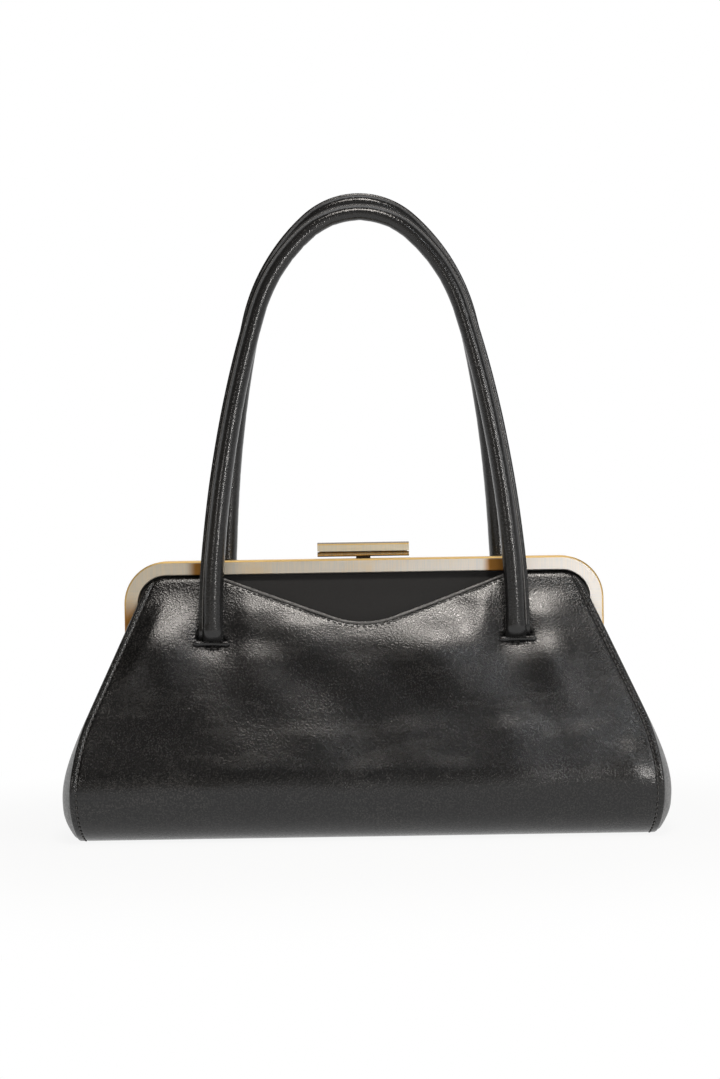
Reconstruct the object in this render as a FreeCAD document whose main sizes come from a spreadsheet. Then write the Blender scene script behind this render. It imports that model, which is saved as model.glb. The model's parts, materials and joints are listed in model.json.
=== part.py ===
"""Kiss lock frame purse with two rolled leather handles.

X runs across the purse, Y from front (-) to back (+), Z up. The origin is the middle of the base.
"""
import FreeCAD, Part
import Sketcher
import math
import os

Vector = FreeCAD.Vector
FRONT = -1
REAR = 1
# Rings along half of a handle: the arc that each is on, and how far along that arc.
HANDLE_RINGS = (("leg", 0.0), ("leg", 0.5), ("bend", 0.0), ("bend", 0.7), ("crown", 0.4), ("crown", 1.0))

doc = FreeCAD.newDocument("frame_purse")

# Driving sizes, in millimetres and degrees.
SIZES = {
    # brass frame
    "body_height": 138.0,
    "frame_width": 240.0,
    "frame_corner": 21.0,
    "frame_face": 7.0,
    "frame_depth": 10.8,
    "frame_wall": 1.0,
    "frame_bevel": 0.7,
    "rim_bevel": 0.4,
    "parting_gap": 0.4,
    # riveted hinge at the ends of the frame arms
    "hinge_drop": 58.0,
    "ear_radius": 4.5,
    "ear_thick": 1.2,
    "ear_gap": 0.3,
    "ear_spread": 8.5,
    "arm_gap": 0.5,
    "rivet_radius": 1.5,
    "rivet_play": 0.05,
    "rivet_head_radius": 3.0,
    "rivet_head_thick": 1.0,
    "rivet_end_play": 0.1,
    # kiss lock bars
    "bar_length": 46.0,
    "bar_lift": 1.1,
    "lower_bar_height": 2.3,
    "lower_bar_nose": 0.75,
    "upper_bar_height": 4.4,
    "upper_bar_crown": 0.5,
    "bar_pass_gap": 0.4,
    "bar_overhang": 1.0,
    "bar_hood": 1.2,
    "bar_neck_width": 7.2,
    "bar_neck_depth": 2.6,
    "bar_neck_setback": 0.6,
    "tenon_width": 4.4,
    "tenon_play": 0.05,
    "tenon_reach": 0.5,
    # leather body
    "leather": 1.8,
    "lining": 0.8,
    "soft_gap": 0.3,
    "lining_edge_gap": 1.0,
    "lip_inset": 1.2,
    "belly_depth": 94.0,
    "bottom_radius": 27.0,
    "belly_width": 291.0,
    "belly_height": 22.0,
    "side_radius": 105.0,
    "shoulder_inset": 6.0,
    "shoulder_round": 13.0,
    "neckline_width": 148.0,
    "neckline_depth": 27.4,
    "neckline_round": 46.0,
    "fold_above": 9.0,
    "fold_below": 8.0,
    "gusset_bow": 0.166,
    "gusset_rise": 11.0,
    "board_thick": 2.0,
    # plain facing held in the frame channel
    "yoke_thick": 1.6,
    "yoke_front_gap": 2.1,
    "yoke_edge_gap": 1.0,
    "yoke_side_gap": 3.0,
    "cord_gap": 0.25,
    # slits, welts and handles
    "slit_rise": 11.0,
    "slit_width": 14.0,
    "slit_height": 3.0,
    "welt_length": 17.7,
    "welt_height": 1.7,
    "welt_depth": 1.3,
    "tab_drop": 10.0,
    "patch_width": 20.0,
    "patch_thick": 1.0,
    "handle_radius": 6.2,
    "grip_radius": 4.2,
    "handle_wall": 1.4,
    "handle_play": 0.1,
    "handle_gap": 1.2,
    "handle_lean": 4.0,
    "handle_bend_turn": 48.0,
    "neck_length": 10.0,
    "front_handle_spread": 152.0,
    "front_handle_rise": 211.5,
    "front_handle_bend": 87.0,
    "front_handle_crown": 39.2,
    "rear_handle_spread": 144.0,
    "rear_handle_rise": 220.0,
    "rear_handle_bend": 95.0,
    "rear_handle_crown": 38.4,
}

# Places and angles worked out from the driving sizes.
LAYOUT = {
    # frame and hinge
    "half_frame": "Sizes.frame_width / 2",
    "hinge_height": "Sizes.body_height - Sizes.hinge_drop",
    "lip_height": "Sizes.body_height - Sizes.frame_face",
    "near_face": "Sizes.parting_gap / 2",
    "far_face": "near_face + Sizes.frame_depth",
    "arm_end": "hinge_height + Sizes.ear_radius + Sizes.arm_gap",
    "inner_ear": "half_frame - 2 * Sizes.ear_thick - Sizes.ear_gap",
    # kiss lock, measured from the parting plane and the floor
    "lower_bar_bottom": "Sizes.body_height + Sizes.bar_lift",
    "lower_bar_top": "lower_bar_bottom + Sizes.lower_bar_height",
    "upper_bar_bottom": "lower_bar_top + Sizes.bar_pass_gap",
    "upper_bar_top": "upper_bar_bottom + Sizes.upper_bar_height",
    "bar_neck_near": "near_face + Sizes.frame_wall + Sizes.bar_neck_setback",
    "bar_neck_far": "bar_neck_near + Sizes.bar_neck_depth",
    "lower_bar_front": "bar_neck_far + Sizes.bar_overhang",
    "upper_bar_front": "lower_bar_front + Sizes.bar_hood",
    "tenon_bottom": "Sizes.body_height - Sizes.frame_wall - Sizes.tenon_reach",
    # front and back panels seen from the side: a straight slope, tangent to the rolled bottom edge
    "skin_top": "lip_height - Sizes.soft_gap",
    "skin_start": "far_face - Sizes.lip_inset",
    "roll_centre": "Sizes.belly_depth / 2 - Sizes.bottom_radius",
    "roll_run": "roll_centre - skin_start",
    "roll_drop": "lip_height - Sizes.bottom_radius",
    "roll_reach": "roll_run ^ 2 + roll_drop ^ 2",
    "roll_line": "sqrt(roll_reach - Sizes.bottom_radius ^ 2)",
    "skin_sin": "(roll_run * roll_line + roll_drop * Sizes.bottom_radius) / roll_reach",
    "skin_cos": "(roll_drop * roll_line - roll_run * Sizes.bottom_radius) / roll_reach",
    "skin_slope": "skin_sin / skin_cos",
    "skin_depth": "Sizes.leather / skin_cos",
    "roll_start_height": "Sizes.bottom_radius * (1 + skin_sin)",
    # side edges of the panels seen from the front: a straight slope, tangent to the round hips
    "shoulder": "half_frame - Sizes.frame_face - Sizes.shoulder_inset",
    "hip_centre": "Sizes.belly_width / 2 - Sizes.side_radius",
    "hip_run": "hip_centre - shoulder",
    "hip_drop": "lip_height - Sizes.belly_height",
    "hip_reach": "hip_run ^ 2 + hip_drop ^ 2",
    "hip_line": "sqrt(hip_reach - Sizes.side_radius ^ 2)",
    "side_sin": "(hip_run * hip_line + hip_drop * Sizes.side_radius) / hip_reach",
    "side_cos": "(hip_drop * hip_line - hip_run * Sizes.side_radius) / hip_reach",
    "side_slope": "side_sin / side_cos",
    "hip_start_out": "hip_centre + Sizes.side_radius * side_cos",
    "hip_start_height": "Sizes.belly_height + Sizes.side_radius * side_sin",
    "base_half": "hip_centre + sqrt(Sizes.side_radius ^ 2 - Sizes.belly_height ^ 2)",
    # rounded shoulder and dipped neckline of the outer panels
    "shoulder_corner": "shoulder + Sizes.soft_gap * side_slope",
    "shoulder_run": "Sizes.shoulder_round * (1 - side_sin) / side_cos",
    "neckline_edge": "sqrt((Sizes.neckline_width / 2) ^ 2 + Sizes.neckline_depth ^ 2)",
    "neckline_cos": "Sizes.neckline_width / 2 / neckline_edge",
    "neckline_sin": "Sizes.neckline_depth / neckline_edge",
    "neckline_run": "Sizes.neckline_round * neckline_sin / neckline_cos",
    # fold line of the body and the slits of the handles
    "fold_low": "hinge_height - Sizes.fold_below",
    "fold_high": "hinge_height + Sizes.fold_above",
    "gusset_top": "hinge_height + Sizes.gusset_rise",
    "slit_level": "fold_high + Sizes.slit_rise",
    "slit_out": "skin_start + (lip_height - slit_level) * skin_slope",
    "slit_in": "slit_out - skin_depth",
    "handle_out": "slit_out + Sizes.handle_radius + Sizes.handle_gap",
    "tab_thick": "Sizes.slit_height - 2 * Sizes.soft_gap",
    "tab_half": "Sizes.slit_width / 2 - 2 * Sizes.soft_gap",
    "patch_out": "slit_in - 2 * Sizes.soft_gap - tab_thick",
    "patch_in": "patch_out - Sizes.patch_thick",
    "neck_top": "slit_level + Sizes.neck_length * cos(Sizes.handle_lean)"
                " - Sizes.handle_radius * sin(Sizes.handle_lean) - Sizes.soft_gap",
    "neck_out": "handle_out - Sizes.neck_length * sin(Sizes.handle_lean)",
    "neck_half": "Sizes.handle_radius - 2 * Sizes.soft_gap",
    "tab_depth": "tab_thick - 2 * Sizes.soft_gap",
    # facing and filler cord inside the frame channel
    "yoke_front": "far_face - Sizes.frame_wall - Sizes.yoke_front_gap",
    "yoke_back": "yoke_front - Sizes.yoke_thick",
    "yoke_inset": "Sizes.frame_wall + Sizes.yoke_edge_gap",
    "yoke_half": "half_frame - Sizes.frame_face - Sizes.yoke_side_gap",
    "yoke_bend": "lip_height - Sizes.yoke_edge_gap",
    "yoke_foot": "fold_high + Sizes.soft_gap",
    "yoke_foot_out": "patch_in - Sizes.soft_gap",
    "fill_low": "arm_end + Sizes.ear_thick + Sizes.arm_gap",
    "cord_out": "(near_face + Sizes.frame_wall + yoke_back) / 2",
    "cord_half": "(yoke_back - near_face - Sizes.frame_wall) / 2 - Sizes.cord_gap",
    "cord_inset": "Sizes.frame_wall + Sizes.tenon_reach + Sizes.cord_gap + cord_half",
    # inside of the base
    "board_top": "Sizes.leather + Sizes.board_thick",
    "floor_top": "board_top + Sizes.lining",
    "board_half": "base_half - Sizes.leather - 2 * Sizes.soft_gap",
    "lining_inset": "Sizes.leather + Sizes.lining_edge_gap",
    "lining_out": "Sizes.leather + Sizes.soft_gap",
    "lining_in": "lining_out + Sizes.lining",
}
for hand in ("front", "rear"):
    spread = f"Sizes.{hand}_handle_spread / 2"
    rise = f"Sizes.{hand}_handle_rise"
    bend = f"Sizes.{hand}_handle_bend"
    crown = f"Sizes.{hand}_handle_crown"
    turn = "Sizes.handle_bend_turn"
    # each leg is one long arc, tangent to the arc of a bend, and that to the arc of the crown
    LAYOUT[f"{hand}_leg_in"] = f"{spread} + ({bend} - {crown}) * cos({turn}) - {bend}"
    LAYOUT[f"{hand}_leg_up"] = f"{rise} - {bend} * sin({turn}) - {crown} * (1 - sin({turn}))"
    LAYOUT[f"{hand}_leg_turn"] = f"2 * atan({hand}_leg_in / {hand}_leg_up) / 1 deg"
    LAYOUT[f"{hand}_leg"] = f"{hand}_leg_up / sin({hand}_leg_turn) + {bend}"
    LAYOUT[f"{hand}_leg_across"] = f"{hand}_leg - {spread}"
    LAYOUT[f"{hand}_bend_across"] = f"{hand}_leg_across - ({hand}_leg - {bend}) * cos({hand}_leg_turn)"
    LAYOUT[f"{hand}_crown_up"] = f"{rise} - {crown}"
    LAYOUT[f"{hand}_foot_turn"] = f"asin(Sizes.neck_length / {hand}_leg) / 1 deg"
    LAYOUT[f"{hand}_leg_share"] = f"{hand}_leg * ({hand}_leg_turn - {hand}_foot_turn)"
    LAYOUT[f"{hand}_bend_share"] = f"{hand}_leg_share + {bend} * ({turn} - {hand}_leg_turn)"
    LAYOUT[f"{hand}_half_share"] = f"{hand}_bend_share + {crown} * (90 - {turn})"
    LAYOUT[f"{hand}_foot"] = f"{hand}_leg * cos({hand}_foot_turn) - {hand}_leg_across"


def fill_sheet(name, cells):
    """Write one alias and its number or formula on each row of a sheet."""
    sheet = doc.addObject("Spreadsheet::Sheet", name)
    for row, (alias, content) in enumerate(cells.items(), start=1):
        text = f"={content}" if isinstance(content, str) else str(content)
        sheet.set(f"A{row}", alias)
        sheet.set(f"B{row}", text)
        sheet.setAlias(f"B{row}", alias)
    doc.recompute()
    return sheet


fill_sheet("Sizes", SIZES)
layout = fill_sheet("Layout", LAYOUT)


def number(formula):
    """The present value of a formula."""
    result = layout.evalExpression(formula)
    return float(getattr(result, "Value", result))


def hand_of(side):
    return "front" if side == FRONT else "rear"


def signed(side, formula):
    return formula if side > 0 else f"-({formula})"


# Sketch and feature helpers.
def new_body(label):
    body = doc.addObject("PartDesign::Body", label)
    body.Label = label
    return body


def origin_feature(body, role):
    return next(item for item in body.Origin.OriginFeatures if item.Role == role)


def new_sketch(body, role, offset="0"):
    """A sketch on one of the body's own planes, moved along the plane's normal."""
    sketch = body.newObject("Sketcher::SketchObject", f"{body.Label}_sketch")
    sketch.AttachmentSupport = [(origin_feature(body, role), "")]
    sketch.MapMode = "FlatFace"
    sketch.setExpression("AttachmentOffset.Base.z", offset)
    return sketch


def add_arc(sketch, start, end, radius, turn):
    """An arc of under a half circle; turn is 1 counter-clockwise and -1 clockwise."""
    chord = end - start
    rise = math.sqrt(max(radius ** 2 - (chord.Length / 2) ** 2, 0.0))
    left = Vector(-chord.y, chord.x, 0).normalize()
    centre = (start + end) * 0.5 + left * rise * turn
    angles = [math.atan2(point.y - centre.y, point.x - centre.x) for point in (start, end)]
    circle = Part.Circle(centre, Vector(0, 0, 1), radius)
    first, last = angles if turn > 0 else reversed(angles)
    return sketch.addGeometry(Part.ArcOfCircle(circle, first, last))


def set_size(sketch, kind, places, formula):
    """Add one constraint and bind it to a formula."""
    index = sketch.addConstraint(Sketcher.Constraint(kind, *places, number(formula)))
    sketch.setExpression(f"Constraints[{index}]", formula)


def draw(sketch, corners, arcs=None, closed=True):
    """Draw an outline of lines and arcs; arcs maps an edge's index to its radius and turn."""
    arcs = arcs or {}
    spots = [Vector(number(across), number(up), 0) for across, up in corners]
    edges = []
    for index in range(len(corners) if closed else len(corners) - 1):
        start = spots[index]
        end = spots[(index + 1) % len(spots)]
        if index in arcs:
            radius, turn = arcs[index]
            item = add_arc(sketch, start, end, number(radius), turn)
            set_size(sketch, "Radius", (item,), radius)
            edges.append((item, 1, 2) if turn > 0 else (item, 2, 1))
        else:
            edges.append((sketch.addGeometry(Part.LineSegment(start, end)), 1, 2))
    for index, (item, begins, stops) in enumerate(edges):
        if index + 1 < len(edges) or closed:
            follower, follower_begins, _ = edges[(index + 1) % len(edges)]
            sketch.addConstraint(
                Sketcher.Constraint("Coincident", item, stops, follower, follower_begins))
    for index, (across, up) in enumerate(corners):
        if index < len(edges):
            place = edges[index][:2]
        else:
            place = (edges[-1][0], edges[-1][2])
        set_size(sketch, "DistanceX", (-1, 1, *place), across)
        set_size(sketch, "DistanceY", (-1, 1, *place), up)


def draw_box(sketch, left, right, low, high):
    draw(sketch, [(left, low), (right, low), (right, high), (left, high)])


def draw_circle(sketch, across, up, radius):
    centre = Vector(number(across), number(up), 0)
    item = sketch.addGeometry(Part.Circle(centre, Vector(0, 0, 1), number(radius)))
    set_size(sketch, "DistanceX", (-1, 1, item, 3), across)
    set_size(sketch, "DistanceY", (-1, 1, item, 3), up)
    set_size(sketch, "Radius", (item,), radius)


def pad(body, sketch, length, both_ways=True):
    feature = body.newObject("PartDesign::Pad", f"{body.Label}_pad")
    feature.Profile = sketch
    feature.SideType = "Symmetric" if both_ways else "One side"
    feature.setExpression("Length", length)
    return feature


def cut_through(body, sketch):
    feature = body.newObject("PartDesign::Pocket", f"{body.Label}_cut")
    feature.Profile = sketch
    feature.SideType = "Symmetric"
    feature.Type = "ThroughAll"


def pipe(body, profile, spine):
    feature = body.newObject("PartDesign::AdditivePipe", f"{body.Label}_pipe")
    feature.Profile = profile
    feature.Spine = spine


def mirror_across(body, features, role):
    """Repeat features on the other side of one of the body's own planes."""
    doc.recompute()
    feature = body.newObject("PartDesign::Mirrored", f"{body.Label}_mirror")
    feature.Originals = features
    feature.MirrorPlane = (origin_feature(body, role), [""])
    body.Tip = feature


def new_box(label, corner, size):
    """A plain block; corner and size hold formulas for X, Y and Z."""
    block = doc.addObject("Part::Box", label)
    block.Label = label
    for axis, formula in zip("xyz", corner):
        block.setExpression(f"Placement.Base.{axis}", formula)
    for prop, formula in zip(("Length", "Width", "Height"), size):
        block.setExpression(prop, formula)
    return block


# Outlines that several pieces share.
def skin_at(height):
    """How far the panel's outer face stands from the parting plane, on the straight slope."""
    return f"(Layout.skin_start + (Layout.lip_height - ({height})) * Layout.skin_slope)"


def inner_skin_at(height, depth="Sizes.leather"):
    """The same for a face that lies deeper, square to the slope."""
    return f"({skin_at(height)} - {depth} / Layout.skin_cos)"


def inner_roll_at(height, depth):
    """The same for a deeper face on the rolled bottom edge."""
    radius = f"(Sizes.bottom_radius - {depth})"
    return f"(Layout.roll_centre + sqrt({radius} ^ 2 - (Sizes.bottom_radius - {height}) ^ 2))"


def side_at(height):
    """Half the panel's width, on the straight slope of its side edge."""
    return f"(Layout.shoulder + (Layout.lip_height - ({height})) * Layout.side_slope)"


def hip_at(height):
    """The same, on the round hip."""
    rise = f"({height} - Sizes.belly_height)"
    return f"(Layout.hip_centre + sqrt(Sizes.side_radius ^ 2 - {rise} ^ 2))"


def frame_path(sketch, inset, low, closed=False):
    """The frame's arched outline, moved inwards by inset, from low up and over and down again."""
    half = f"Layout.half_frame - {inset}"
    top = f"Sizes.body_height - {inset}"
    radius = f"Sizes.frame_corner - {inset}"
    inner = "Layout.half_frame - Sizes.frame_corner"
    bend = "Sizes.body_height - Sizes.frame_corner"
    corners = [
        (f"-({half})", low),
        (f"-({half})", bend),
        (f"-({inner})", top),
        (inner, top),
        (half, bend),
        (half, low),
    ]
    draw(sketch, corners, arcs={1: (radius, -1), 3: (radius, -1)}, closed=closed)


def trim_to(body, corners, arcs, role="XZ_Plane"):
    """Cut away everything outside an outline."""
    sketch = new_sketch(body, role)
    reach = "Sizes.belly_width"
    draw_box(sketch, f"-{reach}", reach, "-Sizes.belly_depth", "2 * Sizes.body_height")
    draw(sketch, corners, arcs)
    cut_through(body, sketch)


def sloping_band(side, low, high):
    """Corners of a strip of panel between two heights, seen from the side."""
    corners = [
        (skin_at(high), high),
        (inner_skin_at(high), high),
        (inner_skin_at(low), low),
        (skin_at(low), low),
    ]
    return [(signed(side, out), up) for out, up in corners]


# Brass frame and its hinge.
def make_frame(side):
    body = new_body(f"{hand_of(side)}_frame")
    spine = new_sketch(body, "XZ_Plane")
    frame_path(spine, "0", "Layout.arm_end")

    # channel section at the foot of the left arm: web outside, open towards the bag
    outer = "-Layout.half_frame"
    rim = "-Layout.half_frame + Sizes.frame_face"
    web = "-Layout.half_frame + Sizes.frame_wall"
    near = signed(side, "Layout.near_face")
    near_inside = signed(side, "(Layout.near_face + Sizes.frame_wall)")
    far_inside = signed(side, "(Layout.far_face - Sizes.frame_wall)")
    bevelled = signed(side, "(Layout.far_face - Sizes.frame_bevel)")
    far = signed(side, "Layout.far_face")
    section = new_sketch(body, "XY_Plane", "Layout.arm_end")
    draw(section, [
        (outer, near),
        (rim, near),
        (rim, near_inside),
        (web, near_inside),
        (web, far_inside),
        (rim, far_inside),
        (rim, signed(side, "(Layout.far_face - Sizes.rim_bevel)")),
        (f"{rim} - Sizes.rim_bevel", far),
        (f"{outer} + Sizes.frame_bevel", far),
        (outer, bevelled),
    ])
    pipe(body, section, spine)

    # ears: the front pair lies in line with the web, the rear pair is set in behind it
    ear_plane = "Layout.half_frame - Sizes.ear_thick" if side == FRONT else "Layout.inner_ear"
    for hand in (-1, 1):
        offset = ear_plane if hand > 0 else f"-({ear_plane} + Sizes.ear_thick)"
        neck = new_sketch(body, "YZ_Plane", offset)
        draw(neck, [
            (near, "Layout.arm_end + Sizes.ear_thick"),
            (signed(side, "Sizes.ear_spread"), "Layout.arm_end + Sizes.ear_thick"),
            (signed(side, "Sizes.ear_radius"), "Layout.hinge_height"),
            (near, "Layout.hinge_height"),
        ])
        pad(body, neck, "Sizes.ear_thick", both_ways=False)
        disc = new_sketch(body, "YZ_Plane", offset)
        draw_circle(disc, "0", "Layout.hinge_height", "Sizes.ear_radius")
        pad(body, disc, "Sizes.ear_thick", both_ways=False)
    bore = new_sketch(body, "YZ_Plane")
    draw_circle(bore, "0", "Layout.hinge_height", "Sizes.rivet_radius + Sizes.rivet_play")
    cut_through(body, bore)

    # mortise in the web for the kiss bar's tenon
    mortise = new_sketch(body, "YZ_Plane")
    draw_box(
        mortise,
        signed(side, "(Layout.bar_neck_near - Sizes.tenon_play)"),
        signed(side, "(Layout.bar_neck_far + Sizes.tenon_play)"),
        "Sizes.body_height - 2 * Sizes.frame_wall",
        "Sizes.body_height + Sizes.frame_wall",
    )
    slot = body.newObject("PartDesign::Pocket", f"{body.Label}_mortise")
    slot.Profile = mortise
    slot.SideType = "Symmetric"
    slot.setExpression("Length", "Sizes.tenon_width + 2 * Sizes.tenon_play")
    return body


def make_rivet(hand):
    """A rivet with a bevelled head at each end, turned round its own line."""
    name = "left" if hand < 0 else "right"
    body = new_body(f"{name}_hinge_rivet")
    body.setExpression("Placement.Base.z", "Layout.hinge_height")
    inside = "Layout.inner_ear - Sizes.rivet_end_play"
    outside = "Layout.half_frame + Sizes.rivet_end_play"
    corners = [
        (f"{inside} - Sizes.rivet_head_thick", "0"),
        (f"{outside} + Sizes.rivet_head_thick", "0"),
        (f"{outside} + Sizes.rivet_head_thick", "Sizes.rivet_radius"),
        (outside, "Sizes.rivet_head_radius"),
        (outside, "Sizes.rivet_radius"),
        (inside, "Sizes.rivet_radius"),
        (inside, "Sizes.rivet_head_radius"),
        (f"{inside} - Sizes.rivet_head_thick", "Sizes.rivet_radius"),
    ]
    profile = new_sketch(body, "XY_Plane")
    draw(profile, [(signed(hand, along), out) for along, out in corners])
    turned = body.newObject("PartDesign::Revolution", f"{body.Label}_turned")
    turned.Profile = profile
    turned.ReferenceAxis = (origin_feature(body, "X_Axis"), [""])
    turned.Angle = 360
    return body


def add_neck_and_tenon(body, side, top):
    """The stalk that carries a kiss bar, and the tenon that is peened under the frame's web."""
    near = signed(side, "Layout.bar_neck_near")
    far = signed(side, "Layout.bar_neck_far")
    neck = new_sketch(body, "YZ_Plane")
    draw_box(neck, near, far, "Sizes.body_height", top)
    pad(body, neck, "Sizes.bar_neck_width")
    tenon = new_sketch(body, "YZ_Plane")
    draw_box(tenon, near, far, "Layout.tenon_bottom", "Sizes.body_height")
    pad(body, tenon, "Sizes.tenon_width")


def make_lower_bar():
    """The front half's bar, with a rounded nose, which the rear half's bar snaps over."""
    body = new_body("front_kiss_bar")
    section = new_sketch(body, "YZ_Plane")
    back = "Layout.bar_neck_near - Sizes.bar_neck_setback"
    nose = "-Layout.lower_bar_front + Sizes.lower_bar_nose"
    radius = "((Sizes.lower_bar_height / 2) ^ 2 + Sizes.lower_bar_nose ^ 2) / (2 * Sizes.lower_bar_nose)"
    draw(section, [
        (back, "Layout.lower_bar_bottom"),
        (back, "Layout.lower_bar_top"),
        (nose, "Layout.lower_bar_top"),
        (nose, "Layout.lower_bar_bottom"),
    ], arcs={2: (radius, 1)})
    pad(body, section, "Sizes.bar_length")
    add_neck_and_tenon(body, FRONT, "Layout.lower_bar_bottom + Sizes.lower_bar_height / 2")
    return body


def make_upper_bar():
    """The rear half's bar, which reaches forward over the lower bar."""
    body = new_body("rear_kiss_bar")
    section = new_sketch(body, "YZ_Plane")
    front = "-Layout.upper_bar_front"
    back = "Layout.bar_neck_far + Sizes.bar_overhang"
    edge = "Layout.upper_bar_top - Sizes.upper_bar_crown"
    half_span = "((Layout.upper_bar_front + Layout.bar_neck_far + Sizes.bar_overhang) / 2)"
    crown = f"({half_span} ^ 2 + Sizes.upper_bar_crown ^ 2) / (2 * Sizes.upper_bar_crown)"
    draw(section, [
        (front, "Layout.upper_bar_bottom"),
        (back, "Layout.upper_bar_bottom"),
        (back, edge),
        (front, edge),
    ], arcs={2: (crown, 1)})
    pad(body, section, "Sizes.bar_length")
    add_neck_and_tenon(body, REAR, "Layout.upper_bar_bottom + Sizes.upper_bar_height / 2")
    return body


# Leather facing and filler cord in the frame channel.
def make_yoke(side):
    """Facing of one half: an edge held all along the channel, and a sheet that slopes down from it."""
    body = new_body(f"{hand_of(side)}_yoke")
    edge = new_sketch(body, "XZ_Plane", signed(-side, "Layout.yoke_back"))
    frame_path(edge, "Layout.yoke_inset", "Layout.fill_low", closed=True)
    opening = new_sketch(body, "XZ_Plane")
    inset = "Sizes.frame_face + Sizes.yoke_edge_gap"
    frame_path(opening, inset, "Layout.fill_low - Sizes.leather", closed=True)
    strip = pad(body, edge, "Sizes.yoke_thick", both_ways=False)
    strip.Reversed = side == REAR
    cut_through(body, opening)

    sheet = new_sketch(body, "YZ_Plane")
    draw(sheet, [(signed(side, out), up) for out, up in (
        ("Layout.yoke_front", "Layout.lip_height"),
        ("Layout.yoke_front", "Layout.yoke_bend"),
        ("Layout.yoke_foot_out", "Layout.yoke_foot"),
        ("Layout.yoke_foot_out - Sizes.yoke_thick", "Layout.yoke_foot"),
        ("Layout.yoke_back", "Layout.yoke_bend"),
        ("Layout.yoke_back", "Layout.lip_height"),
    )])
    pad(body, sheet, "2 * Layout.yoke_half")
    return body


def make_frame_cord(side):
    """Paper cord, pressed square in the channel behind the leather."""
    body = new_body(f"{hand_of(side)}_frame_cord")
    spine = new_sketch(body, "XZ_Plane")
    frame_path(spine, "Layout.cord_inset", "Layout.fill_low")
    section = new_sketch(body, "XY_Plane", "Layout.fill_low")
    middle = "-Layout.half_frame + Layout.cord_inset"
    draw_box(
        section,
        f"{middle} - Layout.cord_half",
        f"{middle} + Layout.cord_half",
        signed(side, "(Layout.cord_out - Layout.cord_half)"),
        signed(side, "(Layout.cord_out + Layout.cord_half)"),
    )
    pipe(body, section, spine)
    return body


# Leather panels.
def make_upper_panel(side):
    """Outer panel above the fold, with rounded shoulders, a dipped neckline and the handle slits."""
    body = new_body(f"{hand_of(side)}_panel_upper")
    profile = new_sketch(body, "YZ_Plane")
    draw(profile, sloping_band(side, "Layout.fold_high", "Layout.skin_top"))
    pad(body, profile, "Sizes.belly_width")

    low = "Layout.fold_high - Sizes.leather"
    neck_half = "Sizes.neckline_width / 2"
    dip = "Layout.neckline_run * Layout.neckline_cos"
    dip_up = "Layout.skin_top - Sizes.neckline_depth + Layout.neckline_run * Layout.neckline_sin"
    side_top = "Layout.shoulder_corner + Layout.shoulder_run * Layout.side_sin"
    side_up = "Layout.skin_top - Layout.shoulder_run * Layout.side_cos"
    top_end = "Layout.shoulder_corner - Layout.shoulder_run"
    right = [
        (side_at(low), low),
        (side_top, side_up),
        (top_end, "Layout.skin_top"),
        (neck_half, "Layout.skin_top"),
        (dip, dip_up),
    ]
    left = [(f"-({across})", up) for across, up in reversed(right)]
    arcs = {
        1: ("Sizes.shoulder_round", 1),
        4: ("Sizes.neckline_round", -1),
        7: ("Sizes.shoulder_round", 1),
    }
    trim_to(body, right + left, arcs)

    slits = new_sketch(body, "XZ_Plane")
    reach = f"Sizes.{hand_of(side)}_handle_spread / 2"
    for hand in (-1, 1):
        draw_box(
            slits,
            f"{signed(hand, reach)} - Sizes.slit_width / 2",
            f"{signed(hand, reach)} + Sizes.slit_width / 2",
            "Layout.slit_level - Sizes.slit_height",
            "Layout.slit_level",
        )
    cut_through(body, slits)
    return body


def make_fold(side):
    """The strip of panel that bends when the frame opens."""
    body = new_body(f"{hand_of(side)}_panel_fold")
    profile = new_sketch(body, "YZ_Plane")
    draw(profile, sloping_band(side, "Layout.fold_low", "Layout.fold_high - Sizes.soft_gap"))
    pad(body, profile, "Sizes.belly_width")
    low = "Layout.fold_low - Sizes.leather"
    high = "Layout.fold_high + Sizes.leather"
    trim_to(body, [
        (f"-{side_at(low)}", low),
        (side_at(low), low),
        (side_at(high), high),
        (f"-{side_at(high)}", high),
    ], {})
    return body


def rolled_band(side, outer, inner):
    """Corners and arcs of a skin from the fold down to the rolled bottom edge.

    outer and inner are depths below the panel's outer face, square to it.
    """
    corners = []
    for depth in (outer, inner):
        radius = f"(Sizes.bottom_radius - {depth})"
        top = f"{skin_at('Layout.fold_low')} - {depth} / Layout.skin_cos"
        corners.append([
            (top, "Layout.fold_low"),
            (f"Layout.roll_centre + {radius} * Layout.skin_cos",
             f"Sizes.bottom_radius + {radius} * Layout.skin_sin"),
            ("Layout.roll_centre", depth),
        ])
    loop = corners[0] + corners[1][::-1]
    arcs = {
        1: (f"Sizes.bottom_radius - {outer}", -side),
        3: (f"Sizes.bottom_radius - {inner}", side),
    }
    return [(signed(side, out), up) for out, up in loop], arcs


def hip_outline(inset):
    """Corners and arcs of the side edges below the fold, moved inwards by inset."""
    high = "Layout.fold_low + Sizes.leather"
    right = [
        (f"Layout.base_half - {inset}", "0"),
        (f"Layout.hip_start_out - {inset}", "Layout.hip_start_height"),
        (f"{side_at(high)} - {inset}", high),
    ]
    left = [(f"-({across})", up) for across, up in reversed(right)]
    arcs = {0: ("Sizes.side_radius", 1), 4: ("Sizes.side_radius", 1)}
    return right + left, arcs


def make_lower_skin(label, side, outer, inner, inset):
    body = new_body(label)
    profile = new_sketch(body, "YZ_Plane")
    draw(profile, *rolled_band(side, outer, inner))
    pad(body, profile, "Sizes.belly_width")
    trim_to(body, *hip_outline(inset))
    return body


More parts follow.
